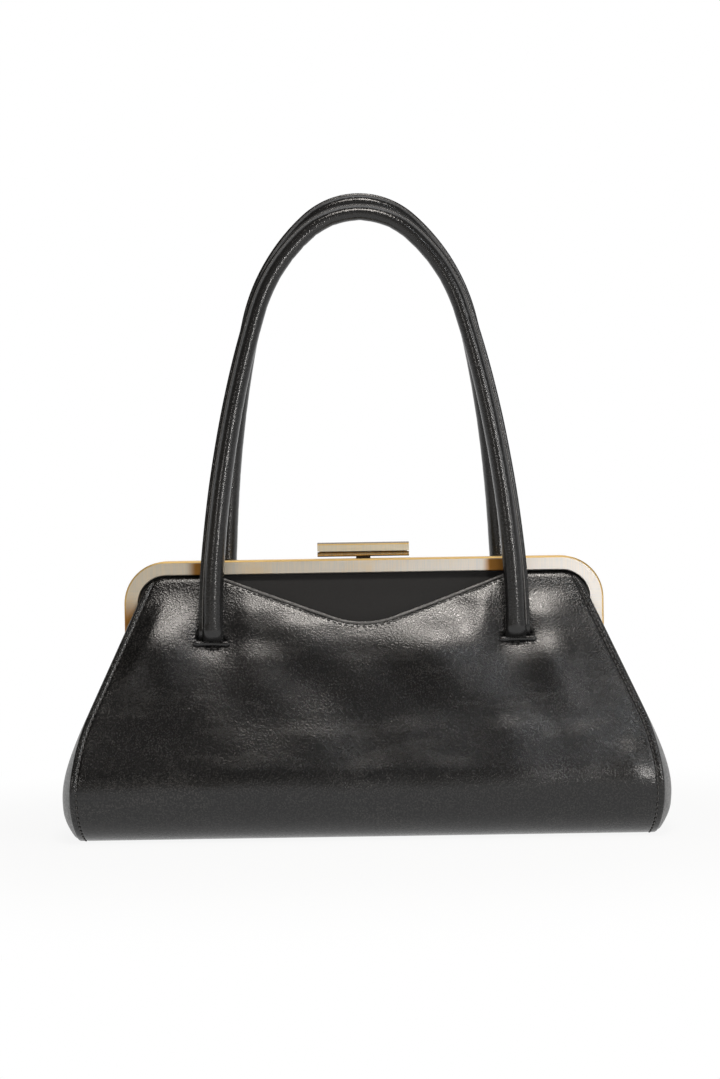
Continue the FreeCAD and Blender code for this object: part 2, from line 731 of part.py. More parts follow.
def make_gusset(label, hand, inset, thick, feet, depth):
    """An end wall, bowed out along its middle and running back to the side edges of the panels.

    inset is how far it lies inside the side edge, feet are the heights of its lowest stations, and
    depth is that of the face it meets, below the outer face of the panels. Each station has its
    height and the edge and face that it follows.
    """
    depth = f"({depth} + Sizes.soft_gap)"
    waist = "((Layout.roll_start_height + Layout.hip_start_height) / 2)"
    stations = [(height, hip_at, inner_roll_at) for height in feet]
    stations += [
        ("(Sizes.bottom_radius / 3)", hip_at, inner_roll_at),
        ("Sizes.bottom_radius", hip_at, inner_roll_at),
        ("Layout.roll_start_height", hip_at, inner_skin_at),
        (waist, hip_at, inner_skin_at),
        ("Layout.hip_start_height", side_at, inner_skin_at),
        ("Layout.gusset_top", side_at, inner_skin_at),
    ]
    outer = []
    inner = []
    for height, edge_at, face_at in stations:
        out = f"({edge_at(height)} - {inset} + Sizes.gusset_bow * {face_at(height, depth)})"
        outer.append((signed(hand, out), height))
        inner.append((signed(hand, f"({out} - {thick})"), height))
    body = new_body(label)
    middle = new_sketch(body, "XZ_Plane")
    draw(middle, outer + inner[::-1])
    wing = pad(body, middle, "Sizes.belly_depth / 2", both_ways=False)
    wing.UseCustomVector = True
    wing.AlongSketchNormal = True
    wing.Direction = Vector(-hand * number("Sizes.gusset_bow"), -1, 0)
    wing.setExpression("Direction.x", signed(-hand, "Sizes.gusset_bow"))
    mirror_across(body, [wing], "XZ_Plane")

    radius = f"(Sizes.bottom_radius - {depth})"
    roll_out = f"Layout.roll_centre + {radius} * Layout.skin_cos"
    roll_up = f"Sizes.bottom_radius + {radius} * Layout.skin_sin"
    top = "Layout.gusset_top + Sizes.leather"
    rear = [
        ("Layout.roll_centre", depth),
        (roll_out, roll_up),
        (inner_skin_at(top, depth), top),
    ]
    front = [(f"-({out})", up) for out, up in reversed(rear)]
    trim_to(body, rear + front, {0: (radius, 1), 4: (radius, 1)}, "YZ_Plane")
    return body


# Handles.
def arch_stations(hand):
    """Formulas along half of a handle's centre line, from its left foot to the crown.

    A station has its place across and up, the tilt of the line from upright, and its share of the
    way to the crown. Each arc has its centre across and up, its radius, the tilts at its two ends
    and the way done before it.
    """
    foot_turn = f"Layout.{hand}_foot_turn"
    leg_turn = f"Layout.{hand}_leg_turn"
    bend_turn = "Sizes.handle_bend_turn"
    arcs = {
        "leg": (f"Layout.{hand}_leg_across", "0", f"Layout.{hand}_leg", foot_turn, leg_turn, "0"),
        "bend": (f"Layout.{hand}_bend_across", f"Layout.{hand}_leg_up", f"Sizes.{hand}_handle_bend", leg_turn,
                 bend_turn, f"Layout.{hand}_leg_share"),
        "crown": ("0", f"Layout.{hand}_crown_up", f"Sizes.{hand}_handle_crown", bend_turn, "90",
                  f"Layout.{hand}_bend_share"),
    }
    stations = []
    for arc, part in HANDLE_RINGS:
        centre, level, radius, first, last, done = arcs[arc]
        tilt = f"({first} + ({last} - {first}) * {part})"
        across = f"({centre} - {radius} * cos({tilt}))"
        up = f"({level} + {radius} * sin({tilt}))"
        share = f"(({done} + {radius} * ({tilt} - {first})) / Layout.{hand}_half_share)"
        stations.append((across, up, tilt, share))
    return stations


def add_rings(body, hand, less):
    """Rings square to a handle's centre line, wide at its feet and slim at the crown, less a depth."""
    left = arch_stations(hand)
    right = [(f"-{across}", up, f"(180 - {tilt})", share) for across, up, tilt, share in left[-2::-1]]
    rings = []
    for across, up, tilt, share in left + right:
        ring = new_sketch(body, "YZ_Plane", across)
        turn = FreeCAD.Rotation(Vector(1, 0, 0), number(tilt) - 90)
        ring.AttachmentOffset = FreeCAD.Placement(Vector(), turn)
        ring.setExpression("AttachmentOffset.Base.y", up)
        ring.setExpression("AttachmentOffset.Rotation.Angle", f"{tilt} - 90")
        radius = f"Sizes.handle_radius + (Sizes.grip_radius - Sizes.handle_radius) * {share}"
        draw_circle(ring, "0", "0", f"{radius} - {less}")
        rings.append(ring)
    return rings


def loft_rings(body, kind, rings):
    loft = body.newObject(f"PartDesign::{kind}", f"{body.Label}_{kind}")
    loft.Profile = rings[0]
    loft.Sections = rings[1:]
    loft.Ruled = True


def lean_handle(body, side):
    """Stand a handle piece on its slits, leaning in towards the parting plane."""
    lean = side * number("Sizes.handle_lean")
    body.Placement = FreeCAD.Placement(Vector(), FreeCAD.Rotation(Vector(1, 0, 0), lean))
    body.setExpression("Placement.Base.y", signed(side, "Layout.handle_out"))
    body.setExpression("Placement.Base.z", "Layout.slit_level")
    body.setExpression("Placement.Rotation.Angle", signed(side, "Sizes.handle_lean"))


def make_handle_cover(side):
    hand = hand_of(side)
    body = new_body(f"{hand}_handle_cover")
    lean_handle(body, side)
    loft_rings(body, "AdditiveLoft", add_rings(body, hand, "0"))
    doc.recompute()
    loft_rings(body, "SubtractiveLoft", add_rings(body, hand, "Sizes.handle_wall"))
    return body


def make_handle_core(side):
    hand = hand_of(side)
    body = new_body(f"{hand}_handle_core")
    lean_handle(body, side)
    core_depth = "(Sizes.handle_wall + Sizes.handle_play)"
    loft_rings(body, "AdditiveLoft", add_rings(body, hand, core_depth))
    return body


def mirrored_pair(label, shape):
    """Group a piece with its twin on the other side of the purse."""
    twin = doc.addObject("Part::Mirroring", f"{label}_twin")
    twin.Source = shape
    twin.Normal = Vector(1, 0, 0)
    pair = doc.addObject("Part::Compound", label)
    pair.Label = label
    pair.Links = [shape, twin]
    return pair


def make_necks(side):
    """Soft feet of a handle: each flattens towards its slit, goes through it and is sewn behind."""
    label = f"{hand_of(side)}_handle_necks"
    across = f"Sizes.{hand_of(side)}_handle_spread / 2"
    foot = "Layout.slit_level - Sizes.soft_gap"
    sole = f"{foot} - Layout.tab_thick"
    flat_out = "(Layout.slit_out + Layout.tab_thick)"

    # the taper is drawn lying along Y and stood up
    ring_out = signed(side, "Layout.neck_out")
    flat_at = signed(side, flat_out)
    taper = doc.addObject("Part::Wedge", f"{label}_taper")
    taper.Placement = FreeCAD.Placement(Vector(), FreeCAD.Rotation(Vector(1, 0, 0), 90))
    for prop, formula in (
        ("Ymin", f"{foot} - Layout.tab_thick / 2"),
        ("Xmin", f"{across} - Layout.tab_half"),
        ("Xmax", f"{across} + Layout.tab_half"),
        ("Zmin", f"-({flat_at}) - Layout.tab_depth"),
        ("Zmax", f"-({flat_at}) + Layout.tab_depth"),
        ("Ymax", "Layout.neck_top"),
        ("X2min", f"Layout.{hand_of(side)}_foot - Layout.neck_half"),
        ("X2max", f"Layout.{hand_of(side)}_foot + Layout.neck_half"),
        ("Z2min", f"-({ring_out}) - Layout.neck_half"),
        ("Z2max", f"-({ring_out}) + Layout.neck_half"),
    ):
        taper.setExpression(prop, formula)

    left = f"{across} - Layout.tab_half"
    width = "2 * Layout.tab_half"
    behind = "(Layout.slit_in - 2 * Sizes.soft_gap)"
    front_edge = f"({flat_out} + Layout.tab_thick / 2)"
    through_out = front_edge if side == FRONT else f"({behind} - Layout.tab_thick)"
    through = new_box(
        f"{label}_through",
        (left, signed(side, through_out), sole),
        (width, f"{front_edge} - {behind} + Layout.tab_thick", "Layout.tab_thick"),
    )
    tab_out = behind if side == FRONT else f"({behind} - Layout.tab_thick)"
    tab = new_box(
        f"{label}_tab",
        (left, signed(side, tab_out), f"{foot} - Sizes.tab_drop"),
        (width, "Layout.tab_thick", "Sizes.tab_drop"),
    )
    whole = doc.addObject("Part::MultiFuse", f"{label}_whole")
    whole.Shapes = [taper, through, tab]
    return mirrored_pair(label, whole)


def make_patches(side):
    """Backing pieces that the handle tabs are sewn to, inside the outer panel."""
    label = f"{hand_of(side)}_handle_patches"
    out = "Layout.patch_out" if side == FRONT else "Layout.patch_in"
    patch = new_box(
        f"{label}_one",
        (
            f"Sizes.{hand_of(side)}_handle_spread / 2 - Sizes.patch_width / 2",
            signed(side, out),
            "Layout.slit_level - Sizes.tab_drop - Sizes.slit_height",
        ),
        ("Sizes.patch_width", "Sizes.patch_thick", "Sizes.tab_drop + 2 * Sizes.slit_height"),
    )
    return mirrored_pair(label, patch)


def make_welts(side):
    """Raised lips of leather along the lower edges of the handle slits."""
    body = new_body(f"{hand_of(side)}_handle_welts")
    high = "Layout.slit_level - Sizes.slit_height - Sizes.soft_gap"
    low = f"{high} - Sizes.welt_height"
    half = "(Sizes.welt_height / Layout.skin_cos / 2)"
    radius = f"({half} ^ 2 + Sizes.welt_depth ^ 2) / (2 * Sizes.welt_depth)"
    step = f"Sizes.{hand_of(side)}_handle_spread / 2"
    sketch = new_sketch(body, "YZ_Plane", step)
    middle = f"(({high}) + ({low})) / 2"
    crest = f"({skin_at(middle)} + Sizes.welt_depth * Layout.skin_cos)"
    draw(sketch, [
        (signed(side, skin_at(high)), high),
        (signed(side, crest), f"{middle} + Sizes.welt_depth * Layout.skin_sin"),
        (signed(side, skin_at(low)), low),
    ], arcs={0: (radius, -side), 1: (radius, -side)})
    lip = pad(body, sketch, "Sizes.welt_length")
    mirror_across(body, [lip], "YZ_Plane")
    return body


pieces = []
for side in (FRONT, REAR):
    hand = hand_of(side)
    pieces.append(make_frame(side))
    pieces.append(make_frame_cord(side))
    pieces.append(make_yoke(side))
    pieces.append(make_upper_panel(side))
    pieces.append(make_fold(side))
    pieces.append(make_lower_skin(f"{hand}_panel_lower", side, "0", "Sizes.leather", "0"))
    pieces.append(make_lower_skin(
        f"{hand}_lining", side, "Layout.lining_out", "Layout.lining_in", "Layout.lining_inset"))
    pieces.append(make_necks(side))
    pieces.append(make_patches(side))
    pieces.append(make_welts(side))
    pieces.append(make_handle_cover(side))
    pieces.append(make_handle_core(side))
pieces.append(make_lower_bar())
pieces.append(make_upper_bar())
for hand in (-1, 1):
    name = "left" if hand < 0 else "right"
    pieces.append(make_rivet(hand))
    foot = "(Sizes.leather + Sizes.soft_gap)"
    pieces.append(make_gusset(
        f"{name}_gusset", hand, "0", "Sizes.leather", (foot, "Layout.floor_top"), "Sizes.leather"))
    pieces.append(make_gusset(
        f"{name}_gusset_lining", hand, "Layout.lining_inset", "Sizes.lining", ("Layout.floor_top",),
        "Layout.lining_in"))
base_corner = ("-Layout.base_half", "-Layout.roll_centre", "0")
base_size = ("2 * Layout.base_half", "2 * Layout.roll_centre", "Sizes.leather")
pieces.append(new_box("base_panel", base_corner, base_size))
board_width = "2 * (Layout.roll_centre - Sizes.soft_gap)"
for label, low, thick in (
    ("base_board", "Sizes.leather", "Sizes.board_thick"),
    ("base_lining", "Layout.board_top", "Sizes.lining"),
):
    pieces.append(new_box(
        label,
        ("-Layout.board_half", "-Layout.roll_centre + Sizes.soft_gap", low),
        ("2 * Layout.board_half", board_width, thick),
    ))

doc.recompute()
for item in doc.Objects:
    if "Invalid" in item.State or "Error" in item.State:
        raise RuntimeError(f"{item.Label} did not build: {item.State}")
for piece in pieces:
    if piece.Shape.isNull() or not piece.Shape.isValid():
        raise RuntimeError(f"{piece.Label} has no valid shape")
os.makedirs("parts", exist_ok=True)
for piece in pieces:
    piece.Shape.exportStep(f"parts/{piece.Label}.step")
    print(f"{piece.Label}: {len(piece.Shape.Solids)} solids, {piece.Shape.Volume:.0f} mm3")
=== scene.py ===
"""Dresses the kiss lock frame purse: leather body, rolled handles, stitching, lining and brass finish.

X runs across the purse, Y from front (-) to back (+), Z up. Shapes are worked out in millimetres
and turned into metres when a mesh is made.
"""
import json
import math

import bmesh
import bpy
import numpy as np
from mathutils import Matrix, Vector


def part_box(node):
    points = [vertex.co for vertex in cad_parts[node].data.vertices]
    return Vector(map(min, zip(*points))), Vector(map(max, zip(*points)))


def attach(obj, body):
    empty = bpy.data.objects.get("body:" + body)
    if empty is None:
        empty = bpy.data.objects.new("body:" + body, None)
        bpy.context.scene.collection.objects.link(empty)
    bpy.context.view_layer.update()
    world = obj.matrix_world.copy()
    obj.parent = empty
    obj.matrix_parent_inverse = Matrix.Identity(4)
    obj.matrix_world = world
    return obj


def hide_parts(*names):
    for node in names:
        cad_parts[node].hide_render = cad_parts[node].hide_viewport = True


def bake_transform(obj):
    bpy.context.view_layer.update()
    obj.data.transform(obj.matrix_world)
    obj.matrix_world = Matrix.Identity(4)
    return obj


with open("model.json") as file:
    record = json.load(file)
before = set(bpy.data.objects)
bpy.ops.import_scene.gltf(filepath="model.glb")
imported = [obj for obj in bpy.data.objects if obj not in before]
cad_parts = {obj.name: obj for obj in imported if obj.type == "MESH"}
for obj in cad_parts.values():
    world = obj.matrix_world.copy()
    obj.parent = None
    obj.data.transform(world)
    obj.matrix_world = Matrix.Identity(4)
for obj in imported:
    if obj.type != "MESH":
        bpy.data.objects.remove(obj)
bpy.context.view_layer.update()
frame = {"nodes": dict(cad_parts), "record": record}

bl_info = {
    "name": "Kiss lock frame purse",
    "version": (1, 0, 0),
    "blender": (4, 5, 0),
    "location": "View3D > Sidebar > Purse",
    "description": "Builds the soft pieces, stitching and finishes of a kiss lock frame purse",
    "category": "Object",
}

MM = 0.001
FRONT = -1
REAR = 1
HANDS = {FRONT: "front", REAR: "rear"}
LEFT = -1
RIGHT = 1
ENDS = {LEFT: "left", RIGHT: "right"}
HANDLE_SWING = next(joint["pos_m"] for joint in frame["record"]["behaviour"]["joints"]
                    if joint["name"] == "front_handle_swing")
# How far the handles' legs stand out from the axis that they swing on.
LEG_STAND = 0.0074


def top_of(node):
    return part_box(node)[1].z


def length_prop(name, description, default):
    return bpy.props.FloatProperty(name=name, description=description, default=default, min=0.0,
                                   unit="LENGTH", precision=5)


def colour_prop(name, description, default):
    return bpy.props.FloatVectorProperty(name=name, description=description, default=default, size=3,
                                         subtype="COLOR", min=0.0, max=1.0)


def power_prop(name, description, default):
    return bpy.props.FloatProperty(name=name, description=description, default=default, min=0.0, unit="POWER")


class PurseSizes(bpy.types.PropertyGroup):
    """Sizes of the soft pieces."""

    lip: length_prop("Lip height", "Height of the lower rim of the frame's face", 0.131)
    panel_top: length_prop("Panel top", "Height of the outer panels' top edge", top_of("front_panel_upper"))
    belly: length_prop("Belly", "Half the depth of the body", -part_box("front_panel_lower")[0].y)
    leather: length_prop("Leather", "Thickness of the outer leather", 0.0018)
    roll: length_prop("Bottom roll", "Radius of the rolled bottom edge", 0.027)
    shoulder: length_prop("Shoulder", "Half width of the outer panels at the lip", 0.107)
    neckline: length_prop("Neckline width", "Width of the dipped neckline at the top edge", 0.148)
    sag: length_prop("Sag", "How far the panels belly out at the handle feet", 0.0008)
    dimple: length_prop("Dimple", "How deep the leather is drawn in at the handle feet", 0.0008)
    pitch: length_prop("Stitch pitch", "Distance from stitch to stitch", 0.0030)
    thread: length_prop("Thread", "Thickness of the sewing thread", 0.0007)


class HandleSizes(bpy.types.PropertyGroup):
    """Sizes of the rolled handles."""

    foot_radius: length_prop("Foot radius", "Half the handle's width at its feet", 0.0062)
    crown_radius: length_prop("Crown radius", "Half the handle's width at the top", 0.0042)
    flange: length_prop("Seam flange", "Width of the sewn flange on the legs", 0.0018)
    crown_flange: length_prop("Crown flange", "Width of the sewn flange at the top", 0.0008)
    slit_height: length_prop("Slit height", "Height of the upper edge of the slits", HANDLE_SWING[2])
    stand_off: length_prop("Stand-off", "Distance of the legs from the parting plane",
                           LEG_STAND - HANDLE_SWING[1])
    lean: bpy.props.FloatProperty(name="Lean", description="Lean of the handles towards the middle",
                                  default=math.radians(4.0), subtype="ANGLE")


class FinishColours(bpy.types.PropertyGroup):
    """Colours of the finishes."""

    leather: colour_prop("Leather", "Glazed leather", (0.0046, 0.0047, 0.0049))
    # Paler tone of pebble tops and rubbed streaks: wear, and partly a painted glint of the grain.
    leather_worn: colour_prop("Leather, worn", "Streaks where the leather is rubbed", (0.034, 0.0325, 0.0316))
    # Painted highlight: the beads are much paler than the leather so that they show as thin light lines.
    leather_edge: colour_prop("Leather, edges", "Leather of the beads", (0.11, 0.107, 0.104))
    handle: colour_prop("Handles", "Glazed leather of the handles", (0.011, 0.011, 0.0112))
    gusset: colour_prop("Ends", "Duller leather of the ends and the base", (0.020, 0.0195, 0.019))
    facing: colour_prop("Facing", "Matte leather of the facing", (0.0098, 0.0096, 0.0096))
    facing_pale: colour_prop("Facing, pale", "Paler grain of the facing", (0.020, 0.0195, 0.0195))
    brass: colour_prop("Brass", "Pale brushed brass", (0.66, 0.615, 0.525))
    # Painted light: the frame pales to this colour towards its right end, and is darker brass at its left.
    brass_pale: colour_prop("Brass, pale end", "Brass of the frame's right end", (0.63, 0.645, 0.66))
    # Painted shade: the lower lock bar, lying in the upper bar's shadow, and darker still its stalk.
    brass_dark: colour_prop("Brass, lower bar", "Aged brass of the lower lock bar", (0.26, 0.20, 0.12))
    brass_stalk: colour_prop("Brass, stalk", "Dark foot of the lower lock bar", (0.035, 0.027, 0.018))
    brass_bar: colour_prop("Brass, upper bar", "Duller brass of the upper lock bar", (0.65, 0.605, 0.49))
    # Painted reflection: a dark brown line along the top of the upper lock bar.
    brass_top: colour_prop("Brass, bar top", "Brown top of the upper lock bar", (0.12, 0.085, 0.045))
    # Deeper gold of the blotches, the brushing and the frame's outer rim, and also the painted highlight line
    # on the upper bar.
    brass_edge: colour_prop("Brass, edges", "Deeper gold of the brass at its edges", (0.70, 0.47, 0.18))
    # Painted shadow and shade: brown gold for the handles' shadows on the frame and for the low left arm.
    brass_rub: colour_prop("Brass, rubbed", "Brown gold where the handles rub the frame", (0.32, 0.15, 0.035))
    thread: colour_prop("Thread", "Sewing thread", (0.035, 0.034, 0.033))
    thread_pale: colour_prop("Thread, pale", "Paler strands of the thread", (0.075, 0.072, 0.070))
    lining: colour_prop("Lining", "Lining cloth", (0.030, 0.027, 0.028))
    lining_pale: colour_prop("Lining, pale", "Paler threads of the lining", (0.075, 0.068, 0.070))
    board: colour_prop("Board", "Stiffening board", (0.35, 0.30, 0.24))
    board_dark: colour_prop("Board, dark", "Darker fibres of the board", (0.22, 0.18, 0.14))
    paper: colour_prop("Paper", "Twisted paper cord", (0.72, 0.66, 0.55))
    paper_dark: colour_prop("Paper, dark", "Darker fibres of the paper", (0.50, 0.43, 0.33))
    floor: colour_prop("Floor", "Studio floor", (0.90, 0.90, 0.90))


class StudioSettings(bpy.types.PropertyGroup):
    """Camera and lights."""

    distance: length_prop("Distance", "Distance of the camera from the parting plane", 1.35)
    eye: length_prop("Eye height", "Height of the camera", 0.160)
    aim: length_prop("Aim height", "Height at the middle of the picture", 0.1475)
    span: length_prop("Picture height", "Height that the picture takes in at the parting plane", 0.5445)
    aside: bpy.props.FloatProperty(name="Aside", description="Place of the picture's middle across the purse",
                                   default=-0.0015, unit="LENGTH", precision=5)
    tilt: bpy.props.FloatProperty(name="Tilt", description="Roll of the camera about its line of sight",
                                  default=math.radians(-0.9), subtype="ANGLE")
    key: power_prop("Key light", "Power of the right softbox", 4.9)
    fill: power_prop("Fill light", "Power of the left softbox", 2.2)
    side: power_prop("Side light", "Power of the softbox on the far right", 2.0)
    strip: power_prop("Strip light", "Power of the right strip", 2.7)
    hip: power_prop("Hip light", "Power of the small lamp that glints on the right hip", 0.22)
    top: power_prop("Top light", "Power of the softbox overhead", 3.0)


def sizes():
    return bpy.context.scene.purse_sizes


def handle_sizes():
    return bpy.context.scene.purse_handles


def tone_of(name):
    """A colour of the finishes by its name."""
    return tuple(getattr(bpy.context.scene.purse_colours, name))


# Shader building.
class Value:
    """An output of a node; sums with it add Math nodes."""

    def __init__(self, finish, socket):
        self.finish = finish
        self.socket = socket

    def sum(self, operation, first, second):
        return self.finish.node("ShaderNodeMath", {"operation": operation}, {0: first, 1: second})

    def __add__(self, other):
        return self.sum("ADD", self, other)

    __radd__ = __add__

    def __sub__(self, other):
        return self.sum("SUBTRACT", self, other)

    def __rsub__(self, other):
        return self.sum("SUBTRACT", other, self)

    def __mul__(self, other):
        return self.sum("MULTIPLY", self, other)

    __rmul__ = __mul__

    def __pow__(self, other):
        return self.sum("POWER", self, other)

    def __rpow__(self, other):
        return self.sum("POWER", other, self)

    def __abs__(self):
        return self.sum("ABSOLUTE", self, 0.0)

    def at_least(self, other):
        return self.sum("MAXIMUM", self, other)

    def at_most(self, other):
        return self.sum("MINIMUM", self, other)


class Finish:
    """The nodes of one material, or of the studio's world."""

    def __init__(self, owner):
        owner.use_nodes = True
        self.owner = owner
        self.tree = owner.node_tree
        self.tree.nodes.clear()

    def node(self, kind, settings=None, sockets=None, out=0):
        """Add a node: its settings first, then the values or links of its sockets."""
        made = self.tree.nodes.new(kind)
        for name, setting in (settings or {}).items():
            setattr(made, name, setting)
        for name, content in (sockets or {}).items():
            if isinstance(content, Value):
                self.tree.links.new(content.socket, made.inputs[name])
            elif made.inputs[name].type == "RGBA":
                made.inputs[name].default_value = (*content, 1.0)
            else:
                made.inputs[name].default_value = content
        return Value(self, made.outputs[out]) if made.outputs else None

    def place(self, stretch=(1.0, 1.0, 1.0)):
        """Places on the object in metres; a larger stretch makes a pattern shorter along that axis."""
        where = self.node("ShaderNodeTexCoord", out="Object")
        return self.node("ShaderNodeVectorMath", {"operation": "MULTIPLY"}, {0: where, 1: stretch})

    def outputs(self, names, kind, sockets=None):
        """Several outputs of one node."""
        made = self.node(kind, sockets=sockets).socket.node
        return [Value(self, made.outputs[name]) for name in names]

    def axes(self, where):
        """The three coordinates of places."""
        return self.outputs("XYZ", "ShaderNodeSeparateXYZ", {"Vector": where})

    def noise(self, where, scale, detail=3.0, roughness=0.5, distortion=0.0):
        return self.node("ShaderNodeTexNoise", {"noise_dimensions": "3D"}, {
            "Vector": where, "Scale": scale, "Detail": detail, "Roughness": roughness,
            "Distortion": distortion})

    def cells(self, where, scale):
        return self.node("ShaderNodeTexVoronoi", {"feature": "F1"}, {"Vector": where, "Scale": scale})

    def spread(self, value, low, high, to_low=0.0, to_high=1.0):
        """Take a value's range low to high smoothly to another range."""
        return self.node("ShaderNodeMapRange", {"interpolation_type": "SMOOTHSTEP"}, {
            0: value, 1: low, 2: high, 3: to_low, 4: to_high})

    def tint(self, share, first, second):
        return self.node("ShaderNodeMix", {"data_type": "RGBA"}, {0: share, 6: first, 7: second}, out=2)

    def bump(self, height, strength, distance):
        return self.node("ShaderNodeBump", sockets={
            "Height": height, "Strength": strength, "Distance": distance})

    def seen(self, mirrored):
        """1 for the camera's own view, and the share called mirrored for reflections and glass."""
        camera, glossy, glass = self.outputs(
            ("Is Camera Ray", "Is Glossy Ray", "Is Transmission Ray"), "ShaderNodeLightPath")
        return (camera + (glossy + glass) * mirrored).at_most(1.0)

    def surface(self, **sockets):
        """The surface itself; keywords name its sockets, with underscores for spaces."""
        named = {name.replace("_", " "): content for name, content in sockets.items()}
        shader = self.node("ShaderNodeBsdfPrincipled", sockets=named)
        self.node("ShaderNodeOutputMaterial", sockets={"Surface": shader})
        return self.owner


# Leathers: pebbles of the grain in a metre, depth of the grain, stretch of the creases, colour, roughness of
# the glaze, and how much of the paler tone shows, which is wear and partly a painted glint of the grain.
LEATHERS = {
    "panel_leather": (1020.0, 0.00006, (1.0, 1.0, 1.5), "leather", 0.11, 1.0),
    "handle_leather": (800.0, 0.00006, (1.0, 1.0, 2.6), "handle", 0.09, 0.25),
    "gusset_leather": (850.0, 0.00005, (1.0, 1.0, 0.7), "gusset", 0.28, 0.6),
    # The beads' paler colour is a painted highlight.
    "edge_leather": (500.0, 0.00016, (1.0, 1.0, 1.0), "leather_edge", 0.16, 0.0),
}
# Stretch of the long rubbed streaks on leather.
STREAKS = (0.35, 1.0, 1.0)


def leather_finish(name):
    """Glazed leather: glossy pebbles with duller valleys, fine creases and long rubbed streaks; paler pebble
    tops are wear and partly a painted glint.
    """
    grain, depth, crease_stretch, tone, glaze, wear_and_glint = LEATHERS[name]
    finish = Finish(bpy.data.materials.new(name))
    where = finish.place()
    pebbles = finish.cells(where, grain)
    fine = finish.noise(where, grain * 1.3, detail=3.0, roughness=0.6)
    creases = finish.noise(finish.place(crease_stretch), 120.0, detail=5.0, roughness=0.62, distortion=0.8)
    streaks = finish.noise(finish.place(STREAKS), 75.0, detail=4.0, roughness=0.6, distortion=0.6)
    valleys = finish.spread(pebbles * 0.6 + fine * 0.7, 0.45, 0.80)
    rubbed = finish.spread(streaks, 0.45, 0.70)
    tops = 1 - finish.spread(pebbles + (fine - 0.5) * 0.5, 0.28, 0.58)
    colour = finish.tint(tops * (0.45 + rubbed * 0.55) * wear_and_glint, tone_of(tone), tone_of("leather_worn"))
    gloss = glaze + valleys * 0.14 + rubbed * 0.04
    relief = creases * 1.6 - valleys
    return finish.surface(Base_Color=colour, Roughness=gloss, IOR=1.5,
                          Normal=finish.bump(relief, 0.6, depth))


def facing_finish(name):
    """Matte leather with a close upright grain."""
    finish = Finish(bpy.data.materials.new(name))
    fine = finish.noise(finish.place((1.0, 1.0, 0.25)), 1500.0, detail=4.0, roughness=0.6)
    clouds = finish.noise(finish.place(), 45.0)
    colour = finish.tint(clouds * 0.5 + fine * 0.5, tone_of("facing"), tone_of("facing_pale"))
    return finish.surface(Base_Color=colour, Roughness=0.62 + clouds * 0.16, IOR=1.32,
                          Normal=finish.bump(fine * 0.7 + clouds * 0.6, 0.35, 0.00018))


def lining_finish(name):
    """Plain woven cloth: crossing threads with uneven shade."""
    finish = Finish(bpy.data.materials.new(name))
    where = finish.place()
    threads = {"Vector": where, "Scale": 420.0, "Distortion": 0.6, "Detail": 2.0, "Detail Scale": 1.5}
    across, along = [finish.node("ShaderNodeTexWave", {"bands_direction": direction}, threads, out="Fac")
                     for direction in "XZ"]
    weave = across * 0.5 + along * 0.5
    shade = finish.noise(where, 60.0, detail=4.0)
    colour = finish.tint(weave * 0.6 + shade * 0.4, tone_of("lining"), tone_of("lining_pale"))
    return finish.surface(Base_Color=colour, Roughness=0.72 + weave * 0.15, Sheen_Weight=0.25,
                          Normal=finish.bump(weave, 0.5, 0.0002))


# Fibrous finishes: stretch, scale, detail and roughness of the fibres, the two colours, the surface's least
# roughness and how much the fibres add, and the strength and depth of their relief.
FIBRES = {
    "thread": ((1.0, 1.0, 1.0), 2600.0, 2.0, 0.5, "thread", "thread_pale", 0.32, 0.20, 0.5, 0.0001),
    "board": ((1.0, 5.0, 1.0), 300.0, 5.0, 0.65, "board", "board_dark", 0.80, 0.12, 0.4, 0.0002),
    "paper": ((1.0, 1.0, 1.0), 900.0, 4.0, 0.6, "paper", "paper_dark", 0.78, 0.14, 0.4, 0.00015),
}


def fibre_finish(name):
    """Waxed thread, pressed board or twisted paper: one noise gives colour, gloss and relief."""
    stretch, scale, detail, roughness, first, second, least, added, strength, depth = FIBRES[name]
    finish = Finish(bpy.data.materials.new(name))
    fibres = finish.noise(finish.place(stretch), scale, detail, roughness)
    colour = finish.tint(fibres, tone_of(first), tone_of(second))
    return finish.surface(Base_Color=colour, Roughness=least + fibres * added,
                          Normal=finish.bump(fibres, strength, depth))


# Brasses: colours at the left and right, where the frame's paler right end is painted light, and bands of
# height in millimetres with a colour of their own.
# The upper bar has a painted dark reflection along its top over a painted gold highlight line, and the lower
# bar painted shade over its foot.
BRASSES = {
    "frame_brass": ("brass", "brass_pale", ()),
    "bar_brass": ("brass_bar", "brass_bar", ((145.65, 150.0, "brass_top"), (144.9, 145.5, "brass_edge"))),
    "aged_brass": ("brass_dark", "brass_dark", ((130.0, 139.6, "brass_stalk"),)),
}
BRUSH_SCALE = 2300.0
BAND_EDGE = 0.1


